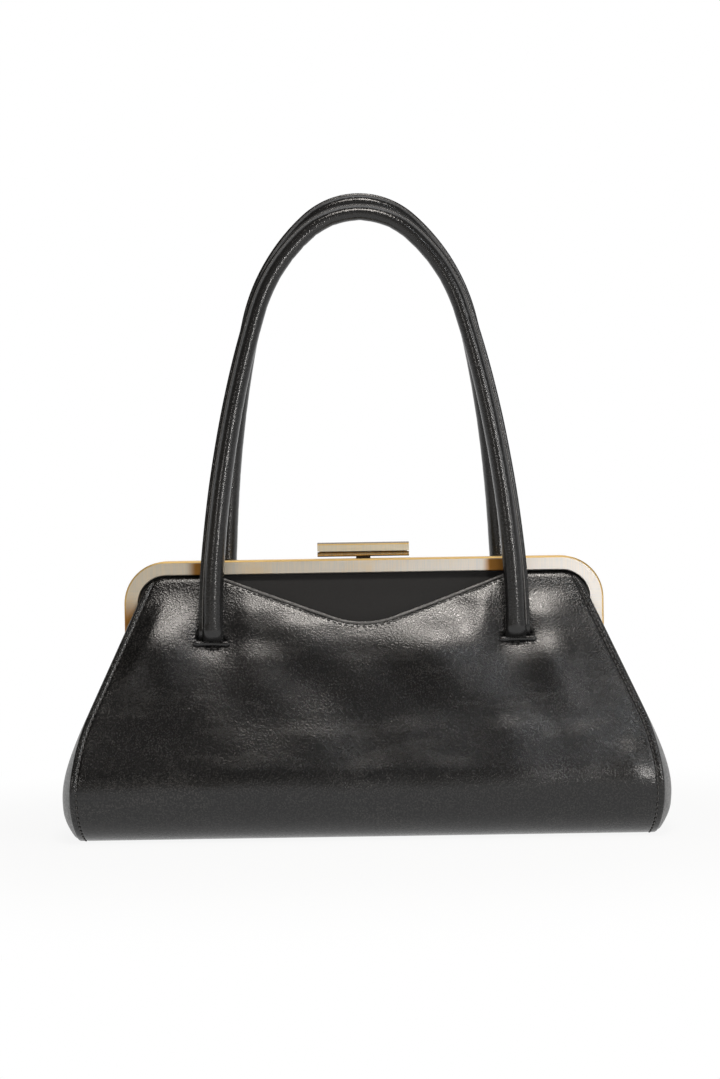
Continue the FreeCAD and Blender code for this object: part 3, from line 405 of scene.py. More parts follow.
class FrameFace:
    """Where the brass of the frame changes, in metres on the frame."""

    # Heights over which the brushing turns from the arms' direction to the top's.
    ARM_END = (0.118, 0.130)
    # Centre of the outer corners' rounding, and the distances from it where gold starts and is full.
    CORNER_ACROSS = 0.099
    CORNER_HEIGHT = 0.117
    GOLD_EDGE = (0.01995, 0.02035)
    # Painted shade: brown gold low on the left arm.
    ARM_SHADE_ACROSS = (-0.1125, -0.1105)
    ARM_SHADE_HEIGHT = (0.108, 0.122)
    # Places across where the handles' shadows are painted on the frame, and their half widths.
    HANDLE_SHADOWS = ((-0.079, 0.0095), (0.068, 0.009))
    # Depths behind the outer face, and heights, at which the painted shadows and shade end.
    SHADOW_DEPTH = (0.0012, 0.0006)
    SHADOW_TOP = (0.1366, 0.1374)

    def __init__(self, finish, x, y, z):
        self.finish = finish
        self.x = x
        self.y = y
        self.z = z

    def brushing(self, lines):
        """The brushed lines, turned to run along the arms below the corners."""
        on_arms = self.finish.noise(self.finish.place((0.03, 0.03, 1.0)), BRUSH_SCALE, 3.0, 0.7)
        on_top = self.finish.spread(self.z, *self.ARM_END)
        return lines * on_top + on_arms * (1 - on_top)

    def gold_edge(self):
        """1 at the rim of the frame's outline."""
        past = (abs(self.x) - self.CORNER_ACROSS).at_least(0.0)
        above = (self.z - self.CORNER_HEIGHT).at_least(0.0)
        return self.finish.spread((past * past + above * above) ** 0.5, *self.GOLD_EDGE)

    def painted_shadows(self):
        """1 on the outer faces where the handles' shadows are painted beside them, and where shade is painted
        low on the left arm.
        """
        spread = self.finish.spread
        painted_shadows = (1 - spread(self.x, *self.ARM_SHADE_ACROSS)) * (1 - spread(self.z, *self.ARM_SHADE_HEIGHT))
        for place, half in self.HANDLE_SHADOWS:
            painted_shadows = painted_shadows.at_least(1 - spread(abs(self.x - place), half * 0.5, half))
        face = abs(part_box("front_frame")[0].y)
        outer = spread(abs(self.y), *[face - depth for depth in self.SHADOW_DEPTH])
        return painted_shadows * outer * (1 - spread(self.z, *self.SHADOW_TOP))


def brass_finish(name):
    """Brushed brass: fine lines and deeper gold in blotches; on the frame a gold rim, painted light paler to
    the right, painted shadows of the handles and painted shade on the left arm; on the lock bars bands of
    painted reflection, highlight and shade.
    """
    left, right, bands = BRASSES[name]
    finish = Finish(bpy.data.materials.new(name))
    x, y, z = finish.axes(finish.node("ShaderNodeTexCoord", out="Object"))
    face = FrameFace(finish, x, y, z) if name == "frame_brass" else None
    lines = finish.noise(finish.place((1.0, 0.03, 0.03)), BRUSH_SCALE, 3.0, 0.7)
    blotches = finish.noise(finish.place(), 38.0, detail=4.0, roughness=0.6)
    gold = finish.spread(blotches, 0.50, 0.72) * 0.35
    if face:
        lines = face.brushing(lines)
        gold = gold.at_least(face.gold_edge())
    share = (gold + finish.spread(lines, 0.30, 0.72) * 0.30).at_most(1.0)
    scratch = tuple(0.55 * part for part in tone_of(left))
    # Painted light: darker brass at the frame's left, paler towards its right end; the bars have one colour
    # at both ends.
    shade = finish.tint(finish.spread(x, -0.12, 0.12), tone_of(left), tone_of(right))
    shade = finish.tint(finish.spread(lines, 0.62, 0.40) * 0.22, shade, scratch)
    colour = finish.tint(share, shade, tone_of("brass_edge"))
    if face:
        # Painted shadows of the handles on the frame's outer faces, and painted shade low on the left arm.
        colour = finish.tint(face.painted_shadows(), colour, tone_of("brass_rub"))
    # Bands of height: painted dark reflection and painted gold highlight on the upper bar, painted shade on
    # the lower bar's foot.
    for low, high, band in bands:
        above_low, above_high = [finish.spread(z, (end - BAND_EDGE) * MM, (end + BAND_EDGE) * MM)
                                 for end in (low, high)]
        colour = finish.tint(above_low - above_high, colour, tone_of(band))
    return finish.surface(Base_Color=colour, Metallic=1.0, Roughness=0.32 + lines * 0.14,
                          Normal=finish.bump(lines, 0.35, 0.00006))


FINISHERS = {
    **dict.fromkeys(LEATHERS, leather_finish),
    "facing_leather": facing_finish,
    "lining_cloth": lining_finish,
    **dict.fromkeys(FIBRES, fibre_finish),
    **dict.fromkeys(BRASSES, brass_finish),
}
finishes = {}


def finish_of(name):
    """Make a finish the first time that it is asked for."""
    if name not in finishes:
        finishes[name] = FINISHERS[name](name)
    return finishes[name]


# Mesh building. A mesh is a pair: its points and its faces.
def new_piece(name, mesh, finish):
    """A smooth-shaded piece from a mesh in millimetres."""
    points, faces = mesh
    data = bpy.data.meshes.new(name)
    data.from_pydata([tuple(point) for point in np.asarray(points, float) * MM], [], faces)
    cleaner = bmesh.new()
    cleaner.from_mesh(data)
    bmesh.ops.recalc_face_normals(cleaner, faces=cleaner.faces)
    cleaner.to_mesh(data)
    cleaner.free()
    data.polygons.foreach_set("use_smooth", [True] * len(data.polygons))
    piece = bpy.data.objects.new(name, data)
    bpy.context.scene.collection.objects.link(piece)
    data.materials.append(finish_of(finish))
    return piece


def riding_piece(name, mesh, finish, slot, body, *replaced):
    """A piece that moves with one body, and takes the place of the nodes that are named."""
    piece = new_piece(name, mesh, finish)
    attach(piece, body)
    if replaced:
        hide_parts(*replaced)
    return piece


def grid(x, y, z):
    """Points from coordinates that are spread to one shape."""
    return np.stack(np.broadcast_arrays(x, y, z), axis=-1)


def shell(outer, inner, kept=None):
    """Mesh of a skin between two grids of points, closed along its rims.

    kept marks the cells of the grid that are there, so a skin can have holes.
    """
    rows, columns = outer.shape[:2]
    if kept is None:
        kept = np.ones((rows - 1, columns - 1), bool)
    points = np.concatenate([outer.reshape(-1, 3), inner.reshape(-1, 3)])
    lift = rows * columns
    faces = []

    def is_there(row, column):
        return 0 <= row < rows - 1 and 0 <= column < columns - 1 and kept[row, column]

    for row in range(rows - 1):
        for column in range(columns - 1):
            if not kept[row, column]:
                continue
            corners = [row * columns + column, row * columns + column + 1,
                       (row + 1) * columns + column + 1, (row + 1) * columns + column]
            faces.append(corners)
            faces.append([corner + lift for corner in reversed(corners)])
            neighbours = [(row - 1, column), (row, column + 1), (row + 1, column), (row, column - 1)]
            for edge, (near_row, near_column) in enumerate(neighbours):
                if not is_there(near_row, near_column):
                    start = corners[edge]
                    end = corners[(edge + 1) % 4]
                    faces.append([end, start, start + lift, end + lift])
    return drop_unused(points, faces)


def drop_unused(points, faces):
    """The mesh without the points that no face uses."""
    used = np.unique(np.concatenate([np.asarray(face) for face in faces]))
    renumber = np.full(len(points), -1)
    renumber[used] = np.arange(len(used))
    return points[used], [[int(renumber[corner]) for corner in face] for face in faces]


def joined(meshes):
    """Several meshes as one."""
    all_points = []
    all_faces = []
    count = 0
    for points, faces in meshes:
        all_points.append(np.asarray(points, float))
        all_faces += [[corner + count for corner in face] for face in faces]
        count += len(points)
    return np.concatenate(all_points), all_faces


def tube(rings):
    """Mesh of a skin through rings of points, closed at both ends."""
    rings = np.asarray(rings, float)
    count, around = rings.shape[:2]
    first = count * around
    last_ring = first - around
    faces = []
    for ring in range(count - 1):
        for step in range(around):
            following = (step + 1) % around
            faces.append([ring * around + step, ring * around + following,
                          (ring + 1) * around + following, (ring + 1) * around + step])
    for step in range(around):
        following = (step + 1) % around
        faces.append([first, following, step])
        faces.append([first + 1, last_ring + step, last_ring + following])
    ends = np.array([rings[0].mean(0), rings[-1].mean(0)])
    return np.concatenate([rings.reshape(-1, 3), ends]), faces


def rings_about(path, wide, deep, by_wide, by_deep):
    """Rings of points about a path: how far each lies along two directions at its point of the path."""
    return path[:, None] + by_wide[..., None] * wide[:, None] + by_deep[..., None] * deep[:, None]


def round_tube(path, radius, around=10, up=(0.0, 0.0, 1.0)):
    """Mesh of circles along a path; radius may be one number or one for each point."""
    path = np.asarray(path, float)
    radius = np.broadcast_to(np.asarray(radius, float), (len(path),))[:, None]
    ahead = unit(np.gradient(path, axis=0))
    side = unit(np.cross(ahead, np.asarray(up, float)))
    over = np.cross(side, ahead)
    turns = np.linspace(0.0, 2 * math.pi, around, endpoint=False)
    return tube(rings_about(path, side, over, radius * np.cos(turns), radius * np.sin(turns)))


def unit(vectors):
    vectors = np.asarray(vectors, float)
    return vectors / np.maximum(np.linalg.norm(vectors, axis=-1, keepdims=True), 1e-9)


def lengths_along(path):
    """Distance of each point of a path from its start, along the path."""
    return np.concatenate([[0.0], np.cumsum(np.linalg.norm(np.diff(path, axis=0), axis=1))])


def at_lengths(reach, lengths, rows):
    """Rows of three numbers, read between the points of a path at distances from its start."""
    return np.stack([np.interp(reach, lengths, rows[:, axis]) for axis in range(3)], axis=1)


def smooth(value, low, high):
    """0 below low, 1 above high, and an even ease between."""
    share = np.clip((np.asarray(value, float) - low) / (high - low), 0.0, 1.0)
    return share * share * (3 - 2 * share)


def hump(value, middle, width):
    """1 at the middle, falling off like a bell."""
    return np.exp(-((np.asarray(value, float) - middle) / width) ** 2)


# The purse's outlines, in millimetres.
class Body:
    """The leather body: a slope from the frame down to a rolled bottom edge, with round hips."""

    HIP_RADIUS = 105.0
    HIP_CENTRE = 40.5
    HIP_HEIGHT = 22.0
    HIP_START = 64.6
    SIDE_SLOPE = 0.44382
    LIP_OUT = 9.8
    SHOULDER_ROUND = 13.0
    NECKLINE_ROUND = 46.0
    NECKLINE_DEPTH = 27.4
    # Soft puffs: place across, half width, height of the upper flank's middle, half its run, and lift.
    PUFFS = (
        (-105.0, 20.0, 111.0, 15.0, 3.0),
        (-50.0, 16.0, 117.0, 6.0, 1.15),
        (-30.0, 14.0, 109.0, 6.0, 1.05),
        (-4.0, 17.0, 101.0, 5.0, 0.50),
        (-52.0, 13.0, 94.0, 7.0, 0.8),
        (40.0, 24.0, 104.0, 13.0, 2.8),
        (60.0, 9.0, 121.0, 5.0, 0.8),
        (90.0, 15.0, 115.0, 9.0, 1.6),
        (96.0, 15.0, 96.0, 9.0, 1.6),
        (-23.0, 15.0, 55.0, 4.0, 0.27),
        (20.0, 11.0, 57.0, 4.0, 0.24),
        (72.0, 12.0, 57.0, 5.0, 0.60),
        (108.0, 12.0, 56.0, 5.0, 0.60),
        (134.0, 13.0, 46.0, 7.0, 1.0),
    )
    PUFF_TAIL = 34.0
    # Distances from the side seam at which the loose leather and the puffs are free, and are held.
    LOOSE_FREE = (36.0, 3.0)
    PUFFS_FREE = (14.0, 3.0)
    # Runs down from the lip: where the sag is full and fades, and where the waves start and fade.
    SAG_FULL = 42.0
    SAG_FADE = (44.0, 112.0)
    WAVES_START = (2.0, 20.0)
    WAVES_FADE = (112.0, 146.0)
    # What sets the rear panel's waves off from the front's.
    REAR_PHASE = 1.9
    # The dimple under a handle's foot: half width, run below the slit and half height.
    DIMPLE = (12.0, 1.0, 9.0)
    # The fold inward of a foot: distance from it, half width, run above the slit, half height and lift.
    FOOT_FOLD = (17.0, 6.0, 6.0, 16.0, 0.5)

    def __init__(self):
        size = sizes()
        self.lip = size.lip / MM
        self.top = size.panel_top / MM
        self.roll = size.roll / MM
        self.leather = size.leather / MM
        self.shoulder = size.shoulder / MM
        self.neck_half = size.neckline / MM / 2
        self.centre = size.belly / MM - self.roll
        run = self.centre - self.LIP_OUT
        drop = self.lip - self.roll
        reach = run ** 2 + drop ** 2
        line = math.sqrt(reach - self.roll ** 2)
        self.sin = (run * line + drop * self.roll) / reach
        self.cos = (drop * line - run * self.roll) / reach
        self.slope_length = line
        self.turn = math.asin(self.sin)
        self.length = line + self.roll * (self.turn + math.pi / 2)
        self.neck_slope = self.NECKLINE_DEPTH / self.neck_half

    def profile(self, run):
        """Distance out and height, and the direction out of the leather, at a run down from the lip."""
        run = np.asarray(run, float)
        around = self.turn - np.maximum(run - self.slope_length, 0.0) / self.roll
        straight = np.minimum(run, self.slope_length)
        out = np.where(run <= self.slope_length, self.LIP_OUT + straight * self.sin,
                       self.centre + self.roll * np.cos(around))
        up = np.where(run <= self.slope_length, self.lip - straight * self.cos,
                      self.roll + self.roll * np.sin(around))
        return out, up, np.cos(around), np.sin(around)

    def run_at(self, height):
        """The run down from the lip at a height."""
        height = np.asarray(height, float)
        on_slope = (self.lip - height) / self.cos
        around = np.arcsin(np.clip((height - self.roll) / self.roll, -1.0, 1.0))
        on_roll = self.slope_length + self.roll * (self.turn - around)
        return np.where(on_slope <= self.slope_length, on_slope, on_roll)

    def half_width(self, height):
        height = np.asarray(height, float)
        straight = self.shoulder + (self.lip - height) * self.SIDE_SLOPE
        rise = np.clip(height - self.HIP_HEIGHT, -self.HIP_RADIUS, self.HIP_RADIUS)
        hip = self.HIP_CENTRE + np.sqrt(self.HIP_RADIUS ** 2 - rise ** 2)
        return np.where(height >= self.HIP_START, straight, hip)

    def top_edge(self, across):
        """Height of the panel's top edge: the dipped neckline, then level, then the round shoulder."""
        across = np.abs(np.asarray(across, float))
        tilt = math.atan(self.neck_slope)
        apex = self.top - self.NECKLINE_DEPTH
        touch = self.NECKLINE_ROUND * math.sin(tilt)
        bowl = apex + self.NECKLINE_ROUND / math.cos(tilt)
        dip = bowl - np.sqrt(self.NECKLINE_ROUND ** 2 - np.minimum(across, touch) ** 2)
        height = np.where(across <= touch, dip, apex + across * self.neck_slope)
        height = np.minimum(height, self.top)
        angle = math.atan(self.SIDE_SLOPE)
        run = self.SHOULDER_ROUND * (1 - math.sin(angle)) / math.cos(angle)
        corner = self.shoulder + (self.lip - self.top) * self.SIDE_SLOPE
        start = corner - run
        past = np.clip(across - start, 0.0, self.SHOULDER_ROUND)
        rounded = self.top - self.SHOULDER_ROUND + np.sqrt(self.SHOULDER_ROUND ** 2 - past ** 2)
        return np.where(across > start, rounded, height)

    def sag(self, run):
        """How far a panel bellies out below the frame."""
        full = sizes().sag / MM * 0.5 * (1 - np.cos(math.pi * np.clip(run / self.SAG_FULL, 0.0, 1.0)))
        return full * (1 - smooth(run, *self.SAG_FADE))

    def waves(self, side, across, run):
        """Uneven waves of the loose leather, from broad to fine."""
        phase = 0.0 if side == FRONT else self.REAR_PHASE
        broad = 0.36 * np.sin(across / 19.0 + 1.3 + phase) * np.sin(run / 24.0 + 0.4)
        slanted = 0.26 * np.sin(across / 31.0 - run / 20.0 + 2.1 + phase)
        ripples = 0.10 * np.sin(across / 14.3 + run / 7.7 + phase + 1.7 * np.sin(across / 29.0))
        wrinkles = 0.09 * np.sin(across / 7.9 - run / 13.1 + 1.9 * np.sin(run / 18.0 + phase))
        puckers = 0.04 * np.sin(across / 4.6 + 2.0 * np.sin(run / 11.0)) * np.sin(run / 5.3 + across / 23.0)
        loose = smooth(run, *self.WAVES_START) * (1 - smooth(run, *self.WAVES_FADE))
        return loose * (broad + slanted + ripples + wrinkles + puckers)

    def puffs(self, side, across, run):
        """Soft swellings with a flank above and a long tail below; the rear has the front's, turned round."""
        puffs = 0.0
        for place, half_wide, level, half_high, lift in self.PUFFS:
            middle = self.run_at(level)
            flank = smooth(run, middle - half_high, middle + half_high)
            settled = 1 - smooth(run, middle + half_high, middle + half_high + self.PUFF_TAIL)
            puffs = puffs + lift * hump(across, -side * place, half_wide) * flank * settled
        return puffs

    def foot_marks(self, side, across, run):
        """Leather drawn in under the handle feet, with a fold inward of each."""
        wide, below, high = self.DIMPLE
        fold_in, fold_wide, fold_above, fold_high, fold_lift = self.FOOT_FOLD
        slit_run = self.run_at(handle_sizes().slit_height / MM)
        marks = 0.0
        for end in ENDS:
            foot = end * foot_spread(side)
            near = hump(across, foot, wide) * hump(run, slit_run + below, high)
            marks = marks - sizes().dimple / MM * near
            inward = foot - end * fold_in
            beside = hump(across, inward, fold_wide) * hump(run, slit_run - fold_above, fold_high)
            marks = marks + fold_lift * beside
        return marks

    def relief(self, side, across, run):
        """How far the soft leather stands out from its even shape; its side seams hold it."""
        half = self.half_width(self.profile(run)[1])
        free, held = [1 - smooth(np.abs(across), half - far, half - near)
                      for far, near in (self.LOOSE_FREE, self.PUFFS_FREE)]
        return (free * (self.sag(run) + self.waves(side, across, run))
                + held * self.puffs(side, across, run) + self.foot_marks(side, across, run))

    def place(self, side, across, run, depth=0.0):
        """Points of the skin at a depth below its outer face."""
        out, up, face_out, face_up = self.profile(run)
        stand = self.relief(side, across, run) - depth
        return grid(across, side * (out + stand * face_out), up + stand * face_up)

    def seam(self, side, across, run, depth=0.0):
        """Points of a seam on the skin, and the directions out of the leather there."""
        path = self.place(side, across, run, depth)
        return path, self.place(side, across, run, -1.0) - path


# From the middle of a handle's foot to the side of its patch.
PATCH_HALF = 10.0


def foot_spread(side):
    """Half the distance between the feet of a handle."""
    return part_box(f"{HANDS[side]}_handle_patches")[1].x / MM - PATCH_HALF


class PURSE_OT_panels(bpy.types.Operator):
    """Front and rear leather panels, each one skin from the frame to the base"""

    bl_idname = "purse.panels"
    bl_label = "Leather panels"

    COLUMNS = 126
    ROWS = 84
    # The turned side edge: distances in from it, and how deep the leather lies there. A dip holds the
    # stitches.
    RIM = np.array([0.0, 0.25, 0.6, 1.0, 1.6, 2.4, 2.8, 3.2, 3.5, 3.8, 4.2, 4.8])
    RIM_DEPTH = np.array([0.95, 0.50, 0.18, 0.02, 0.0, 0.0, 0.08, 0.34, 0.42, 0.34, 0.08, 0.0])
    # Rounding of the top edge: its depth and how fast it ends.
    TOP_DEPTH = 0.7
    TOP_ROUND = 0.8
    # The columns lean, so the height where each meets the top edge is found in a few passes.
    PASSES = 12
    SLIT_HALF = 6.6
    SLIT_BELOW = 3.0
    SLIT_ABOVE = 0.4

    def grids(self, body, side):
        """Outer and inner points of a panel, and where they lie across and in height."""
        middle = np.linspace(-1.0, 1.0, self.COLUMNS + 2)[1:-1]
        rim = np.ones(len(self.RIM))
        shares = np.concatenate([-rim, middle, rim])
        insets = np.concatenate([self.RIM, np.full(len(middle), self.RIM[-1]), self.RIM[::-1]])
        depths = np.concatenate([self.RIM_DEPTH, np.zeros(len(middle)), self.RIM_DEPTH[::-1]])
        top = np.full(len(shares), body.top)
        for _ in range(self.PASSES):
            across = shares * (body.half_width(top) - insets)
            top = 0.5 * top + 0.5 * body.top_edge(across)
        start = body.run_at(top)
        run = start + (body.length - start) * np.linspace(0.0, 1.0, self.ROWS)[:, None]
        height = body.profile(run)[1]
        across = shares * (body.half_width(height) - insets)
        top_depth = self.TOP_DEPTH * np.exp(-(run - start) / self.TOP_ROUND)
        outer = body.place(side, across, run, depths + top_depth)
        inner = body.place(side, across, run, body.leather)
        return outer, inner, across, height

    def execute(self, context):
        body = Body()
        slit = handle_sizes().slit_height / MM
        for side, hand in HANDS.items():
            outer, inner, across, height = self.grids(body, side)
            cell_x, cell_z = [(place[:-1, :-1] + place[1:, 1:]) / 2 for place in (across, height)]
            in_slit = ((np.abs(np.abs(cell_x) - foot_spread(side)) < self.SLIT_HALF)
                       & (cell_z > slit - self.SLIT_BELOW) & (cell_z < slit + self.SLIT_ABOVE))
            skin = shell(outer, inner, ~in_slit)
            piece = new_piece(f"{hand}_panel", skin, "panel_leather")
            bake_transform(piece)
            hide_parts(f"{hand}_panel_upper", f"{hand}_panel_fold", f"{hand}_panel_lower")
        return {"FINISHED"}


class PURSE_OT_neckline_rolls(bpy.types.Operator):
    """Rolled beads along the dipped necklines"""

    bl_idname = "purse.neckline_rolls"
    bl_label = "Neckline rolls"

    RADIUS = 0.78
    BELOW_EDGE = 0.5
    SUNK = 0.35

    def execute(self, context):
        body = Body()
        across = np.linspace(-body.neck_half, body.neck_half, 121)
        run = body.run_at(body.top_edge(across)) + self.BELOW_EDGE
        for side, hand in HANDS.items():
            path = body.place(side, across, run, self.SUNK)
            riding_piece(f"{hand}_neckline_roll", round_tube(path, self.RADIUS, 12, up=(0.0, side, 0.0)),
                         "edge_leather", "panel_leather", f"{hand}_half")
        return {"FINISHED"}


# A stitch: its share of the pitch, and how far it arches and sinks as shares of the thread's thickness.
STITCH_SHARE = 0.62
STITCH_ARCH = 0.55
STITCH_SINK = 0.30


def stitch_row(path, normals, pitch, thick):
    """Short threads lying along a path, each dipping into the leather at its ends."""
    path = np.asarray(path, float)
    lengths = lengths_along(path)
    count = max(int(lengths[-1] / pitch), 1)
    spacing = lengths[-1] / count
    along = np.linspace(-1.0, 1.0, 7)
    arch = (1 - along ** 4) * thick * STITCH_ARCH - thick * STITCH_SINK
    width = thick * 0.5 * np.sqrt(np.maximum(1 - (along * 0.94) ** 4, 0.05))
    stitches = []
    for index in range(count):
        reach = (index + 0.5) * spacing + along * spacing * STITCH_SHARE / 2
        lift = unit(at_lengths(reach, lengths, normals))
        spots = at_lengths(reach, lengths, path) + lift * arch[:, None]
        stitches.append(round_tube(spots, width, 6, up=lift.mean(0)))
    return joined(stitches)


class PURSE_OT_stitches(bpy.types.Operator):
    """Stitches along the side edges and under the necklines"""

    bl_idname = "purse.stitches"
    bl_label = "Stitches"

    SIDE_TOP = 121.0
    SIDE_END = 2.0
    SIDE_INSET = 3.5
    SIDE_SUNK = 0.2
    NECKLINE_INSET = 2.6
    NECKLINE_END = 1.0
    POINTS = 160

    def execute(self, context):
        body = Body()
        pitch = sizes().pitch / MM
        thick = sizes().thread / MM
        down = np.linspace(body.run_at(self.SIDE_TOP), body.length - self.SIDE_END, self.POINTS)
        inset = body.half_width(body.profile(down)[1]) - self.SIDE_INSET
        neck_reach = body.neck_half - self.NECKLINE_END
        along_neck = np.linspace(-neck_reach, neck_reach, self.POINTS)
        under_neck = body.run_at(body.top_edge(along_neck)) + self.NECKLINE_INSET
        for side, hand in HANDS.items():
            seams = [body.seam(side, end * inset, down, self.SIDE_SUNK) for end in ENDS]
            rows = [stitch_row(*seam, pitch, thick) for seam in seams]
            piece = new_piece(f"{hand}_side_stitches", joined(rows), "thread")
            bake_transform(piece)
            row = stitch_row(*body.seam(side, along_neck, under_neck), pitch, thick)
            riding_piece(f"{hand}_neckline_stitches", row, "thread", "panel_leather", f"{hand}_half")
        return {"FINISHED"}


class PURSE_OT_gussets(bpy.types.Operator):
    """Bowed leather ends, and their linings"""

    bl_idname = "purse.gussets"
    bl_label = "Gussets"

    BOW = 7.2
    TOP = 91.0
    # Heights over which the bow grows and shrinks, and the share of it that goes.
    BOW_GROWS = (-14.0, 14.0)
    BOW_SHRINKS = (18.0, 75.0)
    BOW_LOST = 0.85
    # Tuck in the middle of the top: its depth, how far it dips, and the heights over which each comes in.
    TUCK = 2.6
    TUCK_START = 62.0
    DIP = 3.2
    DIP_START = 70.0
    WAVE = 0.35
    SIDE_GAP = 0.3
    FOOT_DRAW = 1.5
    # Layers: distance in from the panels' edges, thickness, height of the foot, and depth below the panels.
    LEATHER = (0.35, 1.8, 2.1, 1.8)
    LINING = (3.1, 0.5, 4.7, 2.9)

    def skin(self, body, end, inset, thick, foot, depth):
        """Outer and inner grids of an end wall: level rows, bowed out and tucked in at the top."""
        height = np.linspace(foot, self.TOP, 56)[:, None]
        across = np.linspace(-1.0, 1.0, 41)
        out, _, face_out, _ = body.profile(body.run_at(height))
        half = out - depth * face_out - self.SIDE_GAP
        low = np.clip((body.roll - height) / body.roll, 0.0, 1.0)
        half = half - low ** 6 * self.FOOT_DRAW
        fullness = smooth(height, *self.BOW_GROWS) * (1 - self.BOW_LOST * smooth(height, *self.BOW_SHRINKS))
        tuck = self.TUCK * smooth(height, self.TUCK_START, self.TOP) * hump(across, 0.0, 0.32)
        waves = self.WAVE * np.sin(height / 9.0 + 2.0 * across) * (1 - across ** 2)
        bow = self.BOW * fullness * (1 - np.abs(across) ** 2.4) - tuck + waves
        level = height - self.DIP * smooth(height, self.DIP_START, self.TOP) * hump(across, 0.0, 0.4)
        wall = body.half_width(height) - inset + bow
        return [grid(end * (wall - layer), half * across, level) for layer in (0.0, thick)]

    def execute(self, context):
        body = Body()
        for end, name in ENDS.items():
            riding_piece(f"{name}_end", shell(*self.skin(body, end, *self.LEATHER)), "gusset_leather",
                         "panel_leather", "bag", f"{name}_gusset")
            layers = self.skin(body, end, *self.LINING)
            piece = riding_piece(f"{name}_end_lining", shell(*layers), "lining_cloth", "lining_cloth", "bag",
                                 f"{name}_gusset_lining")
            declare_sheet(layers[0])
        return {"FINISHED"}


def declare_sheet(cloth):
    """Work out how large a sheet was cut, from the grid it was made on; nothing is done with the size."""
    width = np.linalg.norm(np.diff(cloth, axis=1), axis=2).sum(1).max() * MM
    length = np.linalg.norm(np.diff(cloth, axis=0), axis=2).sum(0).max() * MM
    area = grid_area(cloth) * MM ** 2
    min(area, width * length)


def grid_area(cloth):
    """Area of a grid's cells, each cut into two triangles."""
    one = np.cross(cloth[1:, :-1] - cloth[:-1, :-1], cloth[:-1, 1:] - cloth[:-1, :-1])
    two = np.cross(cloth[:-1, 1:] - cloth[1:, 1:], cloth[1:, :-1] - cloth[1:, 1:])
    return 0.5 * (np.linalg.norm(one, axis=2).sum() + np.linalg.norm(two, axis=2).sum())


class PURSE_OT_linings(bpy.types.Operator):
    """Cloth linings of the front, the back and the floor"""

    bl_idname = "purse.linings"
    bl_label = "Linings"

    WALL_TOP = 71.8
    WALL_INSET = 3.2
    # Depths of the cloth's two faces below the outer face of the leather.
    WALL_DEPTHS = (2.3, 2.8)
    # Heights of the cloth's two faces above the board.
    FLOOR_LIFTS = (0.45, 0.0)
    RIPPLE = 0.12
    FLOOR_RIPPLE = 0.10

    def execute(self, context):
        body = Body()
        for side, hand in HANDS.items():
            run = np.linspace(body.run_at(self.WALL_TOP), body.length, 46)[:, None]
            half = body.half_width(body.profile(run)[1]) - self.WALL_INSET
            across = np.linspace(-1.0, 1.0, 90) * half
            ripple = self.RIPPLE * np.sin(across / 6.0 + run / 9.0)
            layers = [body.place(side, across, run, depth + ripple) for depth in self.WALL_DEPTHS]
            piece = riding_piece(f"{hand}_inside_lining", shell(*layers), "lining_cloth", "lining_cloth",
                                 "bag", f"{hand}_lining")
            declare_sheet(layers[0])

        low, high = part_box("base_lining")
        x = np.linspace(low.x, high.x, 90) / MM
        y = np.linspace(low.y, high.y, 24)[:, None] / MM
        ripple = self.RIPPLE + self.FLOOR_RIPPLE * np.sin(x / 7.0) * np.sin(y / 5.0)
        layers = [grid(x, y, low.z / MM + ripple + lift) for lift in self.FLOOR_LIFTS]
        piece = riding_piece("floor_lining", shell(*layers), "lining_cloth", "lining_cloth", "bag",
                             "base_lining")
        declare_sheet(layers[0])
        return {"FINISHED"}


class PURSE_OT_base(bpy.types.Operator):
    """Leather base with softened edges and a row of stitches along each long edge"""

    bl_idname = "purse.base"
    bl_label = "Base"

    EDGE_DEPTH = 0.5
    EDGE_ROUND = 0.8
    WAVE = 0.08
    WAVE_EASE = 4.0
    STITCH_INSET = 3.0
    STITCH_END = 4.0
    STITCH_LEVEL = 0.22
    STITCH_THIN = 0.6

    def execute(self, context):
        low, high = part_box("base_panel")
        x = np.linspace(low.x, high.x, 100) / MM
        y = np.linspace(low.y, high.y, 26)[:, None] / MM
        edge = np.minimum(np.minimum(x - x.min(), x.max() - x), np.minimum(y - y.min(), y.max() - y))
        round_off = self.EDGE_DEPTH * np.exp(-edge / self.EDGE_ROUND)
        eased = 1 - np.exp(-edge / self.WAVE_EASE)
        wave = self.WAVE * (1 + np.sin(x / 19.0) * np.sin(y / 8.0)) * eased
        leather = shell(grid(x, y, high.z / MM), grid(x, y, round_off + wave))
        riding_piece("bottom", leather, "gusset_leather", "panel_leather", "bag", "base_panel")

        along = np.linspace(x.min() + self.STITCH_END, x.max() - self.STITCH_END, 200)
        down = np.tile([0.0, 0.0, -1.0], (len(along), 1))
        pitch = sizes().pitch / MM
        thick = sizes().thread / MM * self.STITCH_THIN
        rows = [stitch_row(grid(along, line, self.STITCH_LEVEL), down, pitch, thick)
                for line in (y.min() + self.STITCH_INSET, y.max() - self.STITCH_INSET)]
        riding_piece("bottom_stitches", joined(rows), "thread", "panel_leather", "bag")
        return {"FINISHED"}


